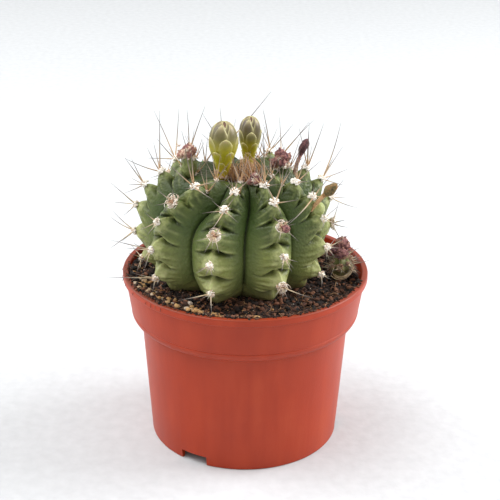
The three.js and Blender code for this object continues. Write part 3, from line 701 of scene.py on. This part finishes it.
# Spines are dead horn: bone coloured, browner at the root and grey at the tip, and slightly glossy.
horn, shader, place, along, young = new_material(
    "spine_horn", {"Roughness": 0.45, "IOR": 1.54}, "along", "young")
old_horn = add(horn, "ValToRGB", {0: along},
               stops=[(0.0, "#c8b08a"), (0.35, "#c4b294"), (0.6, "#7f766e"), (1.0, "#4c4644")])
new_horn = add(horn, "ValToRGB", {0: along},
               stops=[(0.0, "#a5693d"), (0.22, "#b08458"), (0.42, "#7d6d61"), (1.0, "#474240")])
bone = add(horn, "Mix", {0: young, 6: old_horn.outputs[0], 7: new_horn.outputs[0]}, data_type="RGBA")
rings = add(horn, "TexNoise", {"Vector": place, "Scale": per_mm(0.8)})
color_and_bump(horn, shader, bone.outputs[2], rings.outputs[0], 0.05)

# Wool is matted cream hair, so it is bright and quite without gloss, with pinkish brown shadows.
wool, shader, place, tone = new_material(
    "areole_wool", {"Roughness": 0.95, "IOR": 1.5, "Sheen Weight": 0.4}, "tone")
tufts = add(wool, "TexNoise", {"Vector": place, "Scale": per_mm(0.6), "Detail": 4})
shade = add(wool, "Math", {0: tufts.outputs[0], 1: tone}, operation="ADD")
cream = add(wool, "ValToRGB", {0: shade.outputs[0]},
            stops=[(0.3, "#7a4a33"), (0.6, "#c19a7c"), (0.85, "#e8dccb"), (1.0, "#f6f1e8")])
color_and_bump(wool, shader, cream.outputs[0], tufts.outputs[0], 0.25)


def swung(start, towards, turn):
    """The direction that a turn, in radians, takes from one towards another that is square to it."""
    return math.cos(turn) * start + math.sin(turn) * towards


def square_to(direction, hint):
    """Two directions that are square to this one and to each other; hint sets where they point."""
    across = np.cross(direction, hint)
    across = across / np.linalg.norm(across)
    return across, np.cross(direction, across)


def spine(heap, root, direction, length, bend, thickness, young, grey=1.0):
    """One tapered spine that leaves along a direction and bends by a vector over its length."""
    steps = np.linspace(0, 1, 10)
    path = root + np.outer(steps, direction) * length + np.outer(steps ** 2 - 0.5 * steps, bend) * length
    radii = thickness * (1 - 0.86 * steps ** 1.3)
    points, faces = tube(path, radii, 6)
    heap.add(points, faces, along=np.repeat(steps, 6) * grey, young=young)


wool_lay = (0.2, 0.9, 0.4)


def woolly(heap, rng, centre, out, radius, height, lumps, tone):
    """A cushion of matted wool: many small lumps under a nap of short hairs."""
    across, beside = square_to(out, wool_lay)
    for i in range(lumps):
        turn, reach = 2.4 * i, math.sqrt((i + 0.5) / lumps)
        flat = swung(across, beside, turn) * radius * reach * 0.72
        lift = out * height * (1 - reach ** 2) * 0.8
        points, faces = crumb(rng, (0, 0, 0), radius * rng.uniform(0.26, 0.42), 1.2)
        heap.add(points + centre + flat + lift, faces, tone=tone + rng.uniform(-0.1, 0.1))
        for _ in range(6):
            lean = np.array([rng.gauss(0, 0.8) for _ in range(3)]) + out * 0.7 + flat / radius
            hair = centre + flat + lift + np.outer(np.linspace(0, 1, 4), lean) * rng.uniform(0.18, 0.4)
            hair[2:] += np.array([rng.gauss(0, 0.25) for _ in range(3)])
            heap.add(*tube(hair, [0.075, 0.07, 0.06, 0.03], 3), tone=tone + 0.15)


def nest(heap, rng, centre, out, radius):
    """An old flower scar: a ring of curled bristles round a brown, dried-up middle."""
    across, beside = square_to(out, wool_lay)
    for _ in range(4):
        aside = across * rng.gauss(0, 0.35) + beside * rng.gauss(0, 0.35)
        points, faces = crumb(rng, (0, 0, 0), radius * 0.3, 1.0)
        heap.add(points + centre + out * 0.6 + aside, faces, tone=rng.uniform(-0.3, 0.0))
    for i in range(30):
        start, sweep = rng.uniform(0, 6.3), rng.choice((-1, 1)) * rng.uniform(0.5, 1.5)
        ring, lift = radius * rng.uniform(0.55, 1.1), rng.uniform(0.0, 1.4)
        turns = start + np.linspace(0, sweep, 6)
        path = centre + out * lift + across * rng.gauss(0, 0.3) + beside * rng.gauss(0, 0.3)
        path = path + ring * (np.outer(np.cos(turns), across) + np.outer(np.sin(turns), beside))
        path += np.outer(np.linspace(0, 1, 6) ** 2, out) * rng.uniform(-0.8, 1.8)
        heap.add(*tube(path, np.linspace(0.14, 0.05, 6), 4), tone=rng.uniform(0.2, 0.5))
    for _ in range(11):
        turn = rng.uniform(0, 6.3)
        lump = centre + radius * rng.uniform(0.6, 0.95) * swung(across, beside, turn)
        points, faces = crumb(rng, (0, 0, 0), rng.uniform(0.3, 0.6), 1.3)
        heap.add(points + lump + out * rng.uniform(0.1, 0.9), faces, tone=rng.uniform(0.2, 0.5))


rng = random.Random(23)
for rib in range(len(ribs)):
    for level, base_angle in enumerate(levels):
        key = (rib + 1, level + 1)
        root, out, up, right = seat(rib, base_angle + ribs[rib][2])
        spines, cushion = Heap(), Heap()
        chosen = own_spines.get(key)
        if not chosen:
            chosen = [(clock + rng.uniform(-14, 14), star_leans[level] + rng.uniform(-12, 12),
                       star_lengths[level] * rng.uniform(0.7, 1.1)) for clock in star_clocks]
        for clock, lean, length in chosen:
            direction = swung(out, swung(up, right, math.radians(clock)), math.radians(lean))
            bend = np.array([rng.gauss(0, 0.05) for _ in range(3)]) + (0, 0, rng.uniform(0, 0.1))
            thickness = 0.17 + 0.004 * length + 0.02 * rng.random() + 0.02 * (level < 2)
            young = 0.1 + 0.13 * level * (level > 2)
            spine(spines, root + out * 0.4, direction, length, bend, thickness, young)
        if key in nests:
            woolly(cushion, rng, root - out * 0.2, out, 1.9, 0.8, 12, 0.2)
            nest(cushion, rng, root, out, 2.05)
        else:
            raised, size = (0.5, 1.75) if level > 2 else (0.0, 1.5)
            foot_point = root - out * 0.1 + up * raised
            woolly(cushion, rng, foot_point, out, size, 1.6, 17, 0.3 + 0.06 * level)
        node = "areole_rib%d_%d" % key
        belongs(spines.piece("spines_rib%d_%d" % key, horn), "wool_and_spines", node)
        belongs(cushion.piece("wool_rib%d_%d" % key, wool), "wool_and_spines", node)

# ---- The crown ----
# The growing point: the youngest areoles crowd together here, so their wool and copper-brown
# spines make one tangled tuft, from which the flower buds rise.
crown_middle = middle(90)
upward = np.array([0, 0, 1.0])


def crown_place(x, y):
    """A point of the skin at x and y from the growing point."""
    angle = np.linspace(89, 30, 400)
    radius, height = crest(angle)
    return crown_middle + (x, y, float(np.interp(math.hypot(x, y), radius, height)))


rng = random.Random(5)
tuft, tuft_wool = Heap(), Heap()
for rib in range(len(ribs)):
    for angle in (74, 81):
        root, out, up, right = seat(rib, angle)
        woolly(tuft_wool, rng, root, out, 1.0, 0.9, 8, 0.3)
        for clock in (-140, -80, -20, 40, 110):
            away = swung(up, right, math.radians(clock + rng.uniform(-20, 20)))
            direction = swung(out, away, math.radians(rng.uniform(15, 50)))
            length, bend = rng.uniform(5, 11), (0, 0, rng.uniform(0, 0.2))
            spine(tuft, root, direction, length, bend, 0.19, 0.7, grey=0.8)
for _ in range(130):
    turn, reach = rng.uniform(0, 2 * math.pi), 4.6 * math.sqrt(rng.random())
    x, y = 2.4 + reach * math.cos(turn), -0.6 + 0.9 * reach * math.sin(turn)
    root = crown_place(x, y) - (0, 0, 0.4)
    away = np.array([math.cos(turn), math.sin(turn), 0.0]) * reach / 4.6
    lean = away * 0.55 + (rng.gauss(0, 0.25), rng.gauss(0, 0.25), 1.0)
    bend = -away * rng.uniform(0.4, 1.3) + (rng.gauss(0, 0.25), rng.gauss(0, 0.25), 0.0)
    lean = lean / np.linalg.norm(lean)
    spine(tuft, root, lean, rng.uniform(4.5, 9.0), bend, rng.uniform(0.22, 0.29), 0.85, grey=0.25)
for _ in range(22):
    x, y = 2.4 + rng.gauss(0, 2.3), -0.6 + rng.gauss(0, 2.0)
    woolly(tuft_wool, rng, crown_place(x, y), upward, 1.5, 2.6, 9, rng.uniform(-0.22, 0.02))
bud_places = [(-4.8, -2.0), (3.7, 7.8)]  # front and back, from the growing point
for bud_x, bud_y in bud_places:
    for i in range(9):
        x, y = outward(i * 40)[:2] * 2.3
        clump = crown_place(bud_x + x, bud_y + y) + (0, 0, rng.uniform(0, 2.2))
        woolly(tuft_wool, rng, clump, upward, 0.8, 1.0, 5, rng.uniform(-0.05, 0.1))
belongs(tuft.piece("crown_spines", horn), "young_spines", "crown_spine_tuft")
belongs(tuft_wool.piece("crown_wool", wool), "young_spines", "crown_spine_tuft")

# ---- The flower buds ----
# A bud is a stalk-like tube and a swollen head, all wrapped in rows of overlapping waxy scales.
# The lowest scales are the smallest; the top ones are long and meet over the folded petals.
# Waxy plant tissue: yellow-green with a soft gloss, a pale thin margin round each scale and a
# purplish flush where the scales meet at the top.
scale_skin, shader, place, up_bud, margin, flush = new_material(
    "bud_scale_skin", {"Roughness": 0.4, "IOR": 1.45, "Subsurface Weight": 0.15,
                       "Subsurface Radius": (0.6, 1.0, 0.2), "Subsurface Scale": 0.002},
    "height", "margin", "flush")
veins = add(scale_skin, "TexNoise", {"Vector": place, "Scale": per_mm(1.5), "Detail": 4})
leafy = add(scale_skin, "ValToRGB", {0: up_bud},
            stops=[(0.0, "#ad8038"), (0.2, "#c8ae30"), (0.42, "#c3b92f"), (0.62, "#aea52f"),
                   (0.78, "#776e45"), (1.0, "#5d4a4a")])
mottled = add(scale_skin, "Mix", {0: veins.outputs[0], 6: leafy.outputs[0], 7: linear("#6f7f2c")},
              data_type="RGBA", blend_type="SOFT_LIGHT")
color = mottled.outputs[2]
for amount, coat in ((flush, "#7d4a3c"), (margin, "#c9c389")):
    color = add(scale_skin, "Mix", {0: amount, 6: color, 7: linear(coat)}, data_type="RGBA").outputs[2]
color_and_bump(scale_skin, shader, color, veins.outputs[0], 0.08)


def slab(grid, inward, thickness):
    """Points and faces of a grid of points made into a thin closed plate."""
    rows, columns = grid.shape[:2]
    points = np.concatenate([grid.reshape(-1, 3), (grid + inward * thickness).reshape(-1, 3)])
    back = rows * columns
    faces = []
    for j in range(rows - 1):
        for i in range(columns - 1):
            a = j * columns + i
            quad = (a, a + 1, a + columns + 1, a + columns)
            faces.append(quad)
            faces.append(tuple(back + n for n in reversed(quad)))
    rim = [i for i in range(columns)] + [j * columns + columns - 1 for j in range(1, rows)]
    rim += [(rows - 1) * columns + i for i in reversed(range(columns - 1))]
    rim += [j * columns for j in reversed(range(1, rows - 1))]
    for a, b in zip(rim, rim[1:] + rim[:1]):
        faces.append((b, a, back + a, back + b))
    return points, faces


def bud_radius(bud, share):
    """The bud's radius at a share of its length: a thin neck, a belly and a round dome."""
    belly = smoothstep(share, 0.2, bud["widest"])
    dome = np.clip((share - bud["widest"]) / (1 - bud["widest"]), 0, 1)
    return (bud["neck"] + (bud["radius"] - bud["neck"]) * belly) * np.maximum(1 - dome ** 2.3, 0) ** 0.5


def grow_bud(name, bud, node, seed):
    """A bud of overlapping scales round a core, tilted where it stands on the crown."""
    rng = random.Random(seed)
    heap = Heap()
    shares = np.linspace(0, 1, 40)
    radii = bud_radius(bud, shares) - 0.2
    outline = [(0, 0)] + [(max(r, 0.05), s * bud["length"]) for r, s in zip(radii, shares)]
    outline += [(0, bud["length"] - 0.2)]
    points, faces = turned(outline, 32)
    heap.add(points, faces, height=points[:, 2] / bud["length"] + bud["age"], margin=0.0, flush=0.3)
    start = 0.0
    for centre, length, half_turn, count, stand in bud["rows"]:
        start += 0.5 * 360 / count + 9
        for i in range(count):
            azimuth = start + i * 360 / count + rng.uniform(-3, 3)
            long, wide = np.meshgrid(np.linspace(0, 1, 13), np.linspace(-1, 1, 11), indexing="ij")
            outline_width = np.sin(math.pi * (0.12 + 0.88 * long) ** 0.75) ** 0.6 * 0.96 + 0.04
            share = centre + (long - 0.5) * length
            turn = azimuth + wide * half_turn * outline_width
            cup = stand * (0.35 + 0.65 * long) - 0.35 * wide ** 2 * outline_width
            radius = bud_radius(bud, share) - 0.15 + cup
            grid = outward(turn) * np.maximum(radius, 0.15)[..., None]
            grid[..., 2] = share * bud["length"]
            inward = -outward(turn)
            points, faces = slab(grid, inward, 0.28)
            rim = np.maximum(np.abs(wide) ** 5, long ** 8)
            tip = smoothstep(long, 0.8, 0.97) * (1 - smoothstep(np.abs(wide), 0.3, 0.8)) * bud["tips"]
            heap.add(points, faces, height=np.tile(share.ravel(), 2) + bud["age"],
                     margin=np.tile(rim.ravel() * 0.85, 2), flush=np.tile(tip.ravel(), 2))
    tilt = np.array(Matrix.Rotation(math.radians(bud["tilt"][1]), 3, "Y")
                    @ Matrix.Rotation(math.radians(bud["tilt"][0]), 3, "X"))
    root = crown_place(*bud["place"]) - (0, 0, 2.5)
    heap.points = list(np.array(heap.points) @ tilt.T + root)
    belongs(heap.piece(name, scale_skin), "bud_scales", node)


# A row of scales: its middle and its length as shares of the bud, half its turn, how many, stand.
scale_rows = [(0.13, 0.14, 40, 5, 0.5), (0.21, 0.16, 40, 5, 0.55), (0.31, 0.2, 40, 5, 0.5),
              (0.44, 0.29, 42, 5, 0.5), (0.6, 0.37, 42, 5, 0.5), (0.77, 0.4, 46, 5, 0.4),
              (0.885, 0.24, 60, 4, 0.3)]
front_bud = {"place": bud_places[0], "length": 22.8, "radius": 4.75, "neck": 1.9, "widest": 0.68,
             "tilt": (-1, 1), "tips": 0.7, "age": 0.0, "rows": scale_rows}
back_bud = {"place": bud_places[1], "length": 20.4, "radius": 3.65, "neck": 1.7, "widest": 0.7,
            "tilt": (1.5, 2), "tips": 0.35, "age": 0.1, "rows": scale_rows}
grow_bud("bud_front", front_bud, "flower_bud_front", 3)
grow_bud("bud_back", back_bud, "flower_bud_back", 8)

# ---- The dried flowers and buds ----
# Last season's flowers, shrivelled on their areoles to papery maroon knots, with a little wool.
# Dried petal tissue: thin, crinkled and matt, maroon to brown, with grey bloom on its ridges.
petals, shader, place, tone = new_material("dried_petals", {"Roughness": 0.8, "IOR": 1.5}, "tone")
crinkle = add(petals, "TexNoise", {"Vector": place, "Scale": per_mm(0.9), "Detail": 5})
shade = add(petals, "Math", {0: crinkle.outputs[0], 1: tone}, operation="ADD")
maroon = add(petals, "ValToRGB", {0: shade.outputs[0]},
             stops=[(0.3, "#452a2d"), (0.5, "#7a4c4e"), (0.75, "#a67b6b"), (1.0, "#dccab0")])
color_and_bump(petals, shader, maroon.outputs[0], crinkle.outputs[0], 0.3)

# A dried bud's husk: matt and fibrous, a tan stalk below an olive-brown head.
husk, shader, place, tone = new_material("dried_bud_husk", {"Roughness": 0.75, "IOR": 1.5}, "tone")
fibre = add(husk, "TexNoise", {"Vector": place, "Scale": per_mm(0.7), "Detail": 5})
shade = add(husk, "Math", {0: fibre.outputs[0], 1: tone}, operation="ADD")
tan = add(husk, "ValToRGB", {0: shade.outputs[0]},
          stops=[(0.3, "#3d342a"), (0.55, "#6e6038"), (0.85, "#a9794f"), (1.0, "#cda377")])
color_and_bump(husk, shader, tan.outputs[0], fibre.outputs[0], 0.25)


petal_lay = (0.1, 0.8, 0.5)


def shrivelled(heap, rng, root, direction, length, radius, tone, head=0.0):
    """A dried knot along a direction, wrinkled lengthwise. Up to head, a share, it is only a stalk."""
    across, beside = square_to(direction, petal_lay)
    points, faces = ball(20, 24)
    share = (points[:, 2] + 1) / 2
    azimuth = np.arctan2(points[:, 1], points[:, 0])
    knob = np.clip((share - head) / (1 - head), 0, 1)
    swell = np.maximum(np.sin(math.pi * knob ** 1.2) ** 0.6, 0.42 * (1 - knob))
    phase = rng.uniform(0, 6)
    folds = 1 + 0.12 * np.sin(azimuth * 6 + phase + 2 * share)
    lumps = np.array([noise.noise(Vector(p) * 2.2 + Vector((phase, 0, 0))) for p in points])
    width = radius * swell * folds * (1 + 0.35 * lumps) * (share > 0) * (share < 1)
    bow = radius * 0.35 * np.sin(math.pi * share)
    placed = (root + np.outer(share * length, direction)
              + np.outer(np.cos(azimuth) * width + bow, across) + np.outer(np.sin(azimuth) * width, beside))
    stalk = 0.45 * (1 - smoothstep(share, head, head + 0.15)) * (head > 0)
    heap.add(placed, faces, tone=tone + stalk + 0.15 * lumps)
    top = root + direction * length * 0.9
    for i in range(5):
        away = swung(across, beside, i * 1.26 + phase)
        curl, flap = rng.uniform(-0.2, 0.5), radius * rng.uniform(0.3, 0.6)
        long, wide = np.meshgrid(np.linspace(0, 1, 6), np.linspace(-1, 1, 5), indexing="ij")
        side = np.cross(direction, away)
        grid = (top + away * radius * 0.3 + long[..., None] * (direction * flap - away * flap * curl)
                + (wide * (1 - 0.8 * long ** 2))[..., None] * side * radius * 0.25
                - (wide ** 2)[..., None] * away * 0.15)
        heap.add(*slab(grid, -away, 0.12), tone=tone + rng.uniform(-0.1, 0.3))


def berries(heap, rng, root, direction, length, radius, tone, count):
    """A withered cluster: small wrinkled knots packed round a direction."""
    across, beside = square_to(direction, petal_lay)
    for i in range(count):
        reach = math.sqrt((i + 0.3) / count)
        away = swung(across, beside, 2.4 * i)
        lean = direction + away * reach * 0.75 + np.array([rng.gauss(0, 0.12) for _ in range(3)])
        lean /= np.linalg.norm(lean)
        size = radius * rng.uniform(0.42, 0.6) * math.sqrt(8 / count)
        start = root + away * radius * reach * 0.5 + direction * length * (0.45 - 0.4 * reach)
        knot_length = length * rng.uniform(0.42, 0.55)
        shrivelled(heap, rng, start, lean, knot_length, size, tone + rng.uniform(-0.12, 0.14))


def on_rib(rib, angle, lean):
    """A root on a rib's crest and the way something grows that leans down the rib."""
    root, out, up, _ = seat(rib, angle)
    return root, swung(out, -up, math.radians(lean))


rng = random.Random(31)
# Each one's rib, angle up the rib, length, radius, lean down the rib, tone and stand off the skin.
dried = {
    "dried_flower_left": (7, 77, 6.2, 3.0, -8, 0.2, 3.4),
    "dried_flower_middle": (1, 81, 4.4, 2.3, 0, 0.06, 0.0),
    "dried_flower_right": (3, 77.5, 6.6, 3.1, -14, 0.05, 0.0),
    "dried_flower_tall": (3, 69, 14, 1.35, 2, -0.22, 0.0),
    "dried_bud_low": (2, 34, 14.5, 1.5, -22, 0.06, 0.0),
}
for node, (rib, angle, length, radius, lean, tone, stand_off) in dried.items():
    root, direction = on_rib(rib, angle, lean)
    root = root + direction * stand_off
    flower, fluff = Heap(), Heap()
    if node in ("dried_flower_tall", "dried_bud_low"):
        shrivelled(flower, rng, root, direction, length, radius, tone, head=0.5)
        woolly(fluff, rng, root, direction, 0.9, 0.7, 6, 0.2)
    else:
        berries(flower, rng, root, direction, length, radius, tone, 9)
        woolly(fluff, rng, root + direction * 0.3, direction, radius * 0.9, 1.0, 11, 0.28)
        for _ in range(3):
            nudge = np.array([rng.gauss(0, 0.5), rng.gauss(-0.4, 0.5), rng.gauss(0, 0.2)]) * radius
            woolly(fluff, rng, root + direction * length * 0.6 + nudge, direction, 0.6, 0.5, 4, 0.15)
    finish = husk if node == "dried_bud_low" else petals
    belongs(flower.piece(node + "_petals", finish), "dried_petals", node)
    belongs(fluff.piece(node + "_wool", wool), "dried_petals", node)

# A dried berry still sits in one of the old flower scars.
root, out, up, right = seat(1, levels[2] + ribs[1][2])
berry = Heap()
shrivelled(berry, rng, root + out * 0.5 - up * 1.1 + right * 0.9, out, 2.4, 1.25, 0.0)
belongs(berry.piece("scar_berry", petals), "wool_and_spines", "areole_rib2_3")

# ---- The offset ----
# A pup at the stem's foot: a small woolly mound, half hidden by its own pale curled spines,
# with three dried buds on top.
shoot_low, shoot_high = (np.array(corner) * 1000 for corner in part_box("offset_shoot"))
shoot_radius = 4.0
shoot_x, shoot_y = stem_x + stem_radius + shoot_radius, 2.4
shoot_floor, shoot_top = shoot_low[2], shoot_high[2]
shoot_centre = np.array([shoot_x, shoot_y, (shoot_top + shoot_floor) / 2])
rng = random.Random(47)
points, faces = ball(30, 48)
azimuth = np.degrees(np.arctan2(points[:, 0], -points[:, 1]))
ribbing = 0.35 * np.cos(np.radians(azimuth * 7)) * np.sqrt(1 - points[:, 2] ** 2)
warts = 0.25 * np.cos(points[:, 2] * 9)
shape = points * np.array([shoot_radius, shoot_radius, (shoot_top - shoot_floor) / 2])
shape = shape * (1 + (ribbing + warts) / shoot_radius * 0.7)[:, None]
# The ridge and bulge marks paint highlights on the pup's ribs and warts; the furrow and crease marks paint
# shade in its grooves.
shoot = mesh_piece("offset_body", shape + shoot_centre, faces, flesh,
                   {"ridge": np.clip(ribbing * 2, 0, 1), "furrow": np.clip(-ribbing * 2, 0, 1),
                    "crease": np.clip(-warts * 3, 0, 1), "bulge": np.clip(ribbing + warts, 0, 1)})
belongs(shoot, "green_flesh", "offset_shoot")
pup_wool, pup_spines = Heap(), Heap()
for _ in range(52):
    azimuth, climb = rng.uniform(-90, 160), rng.uniform(-25, 75)
    out = swung(outward(azimuth), upward, math.radians(climb))
    root = shoot_centre + out * (3.9, 3.9, 4.2)
    woolly(pup_wool, rng, root, out, 0.9, 0.7, 6, rng.uniform(-0.3, 0.1))
    for _ in range(2):
        lean = out + np.array([rng.gauss(0, 0.5) for _ in range(3)])
        bend = np.array([rng.gauss(0, 0.4), rng.gauss(0, 0.4), -0.2])
        spine(pup_spines, root, lean / np.linalg.norm(lean), rng.uniform(2.5, 5.5), bend, 0.16, 0.1)
spine(pup_spines, np.array([shoot_x + 2, shoot_y, shoot_floor + 4.5]), np.array([0.95, 0.1, 0.1]), 9.0,
      np.array([0, 0, 0.15]), 0.22, 0.0)
for i in range(9):
    turn = np.radians(np.linspace(190 + 12 * i, 320 + 14 * i, 12))
    ring = rng.uniform(2.2, 4.4)
    path = np.stack([shoot_x - 0.4 + ring * np.cos(turn), shoot_y - 3.4 + 0.45 * ring * np.sin(turn),
                     shoot_floor + 3.4 + 0.75 * ring * np.sin(turn) + 0.2 * i], axis=-1)
    points, faces = tube(path, np.linspace(0.15, 0.05, 12), 5)
    pup_spines.add(points, faces, along=np.repeat(np.linspace(0, 0.7, 12), 5), young=0.1)
belongs(pup_wool.piece("offset_wool", wool), "green_flesh", "offset_shoot")
belongs(pup_spines.piece("offset_spines", horn), "green_flesh", "offset_shoot")
for node, radius, tone in (("offset_bud_upper", 2.7, -0.02), ("offset_bud_front", 1.8, -0.05),
                           ("offset_bud_side", 1.7, -0.05)):
    low, high = (np.array(corner) * 1000 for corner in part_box(node))
    root = np.array([(low[0] + high[0]) / 2, (low[1] + high[1]) / 2, low[2]])
    knot = Heap()
    berries(knot, rng, root, upward, high[2] - low[2], radius * 1.05, tone, 4)
    belongs(knot.piece(node + "_petals", petals), "dried_petals", node)

# ---- The studio ----
# A white table that runs out of sight, soft lamps above, on the left and on the right, a broad
# window light from the back left, and a pale room all round.
table, shader, place = new_material("white_table", {"Roughness": 0.9, "IOR": 1.5})
felt = add(table, "TexNoise", {"Vector": place, "Scale": per_mm(4), "Detail": 4})
white = add(table, "ValToRGB", {0: felt.outputs[0]}, stops=[(0.3, "#bdc0c3"), (0.7, "#c5c8cb")])
color_and_bump(table, shader, white.outputs[0], felt.outputs[0], 0.15)
table_corners = [(x * 4000, y * 4000, 0) for x, y in ((-1, -1), (1, -1), (1, 1), (-1, 1))]
studio_floor = mesh_piece("studio_floor", table_corners, [(0, 1, 2, 3)], table)

room = bpy.data.worlds.new("pale_room")
room.use_nodes = True
room.node_tree.nodes["Background"].inputs["Color"].default_value = linear("#fbf9f6")
room.node_tree.nodes["Background"].inputs["Strength"].default_value = 0.8
bpy.context.scene.world = room


def lamp(name, kind, place, power, **settings):
    """A lamp at a place in millimetres, aimed at the plant."""
    light = bpy.data.lights.new(name, kind)
    light.energy = power
    for setting, value in settings.items():
        setattr(light, setting, value)
    holder = bpy.data.objects.new(name, light)
    holder.location = Vector(place) / 1000
    aim = Vector((0, 0, 0.06)) - holder.location
    holder.rotation_euler = aim.to_track_quat("-Z", "Y").to_euler()
    bpy.context.scene.collection.objects.link(holder)


lamp("window_light", "SUN", (-900, 500, 1300), 0.55, angle=math.radians(70))
lamp("key_softbox", "AREA", (-420, -200, 1100), 5.6, size=0.6)
lamp("side_softbox", "AREA", (760, 150, 560), 10.5, size=0.6)
lamp("left_softbox", "AREA", (-700, 200, 520), 3.8, size=0.6)

camera_data = bpy.data.cameras.new("camera")
camera_data.lens = 93.6
camera_data.sensor_width = 36
camera = bpy.data.objects.new("camera", camera_data)
distance, pitch, roll = 450, 0.407386, 0.010848
aim_x, aim_z = 1.54, 68.0
stand = Vector((aim_x, -distance * math.cos(pitch), aim_z + distance * math.sin(pitch))) / 1000
camera.matrix_world = (Matrix.Translation(stand) @ Matrix.Rotation(math.pi / 2 - pitch, 4, "X")
                       @ Matrix.Rotation(roll, 4, "Z"))
bpy.context.scene.collection.objects.link(camera)
bpy.context.scene.camera = camera
bpy.context.scene.view_settings.view_transform = "Standard"

bpy.context.view_layer.update()
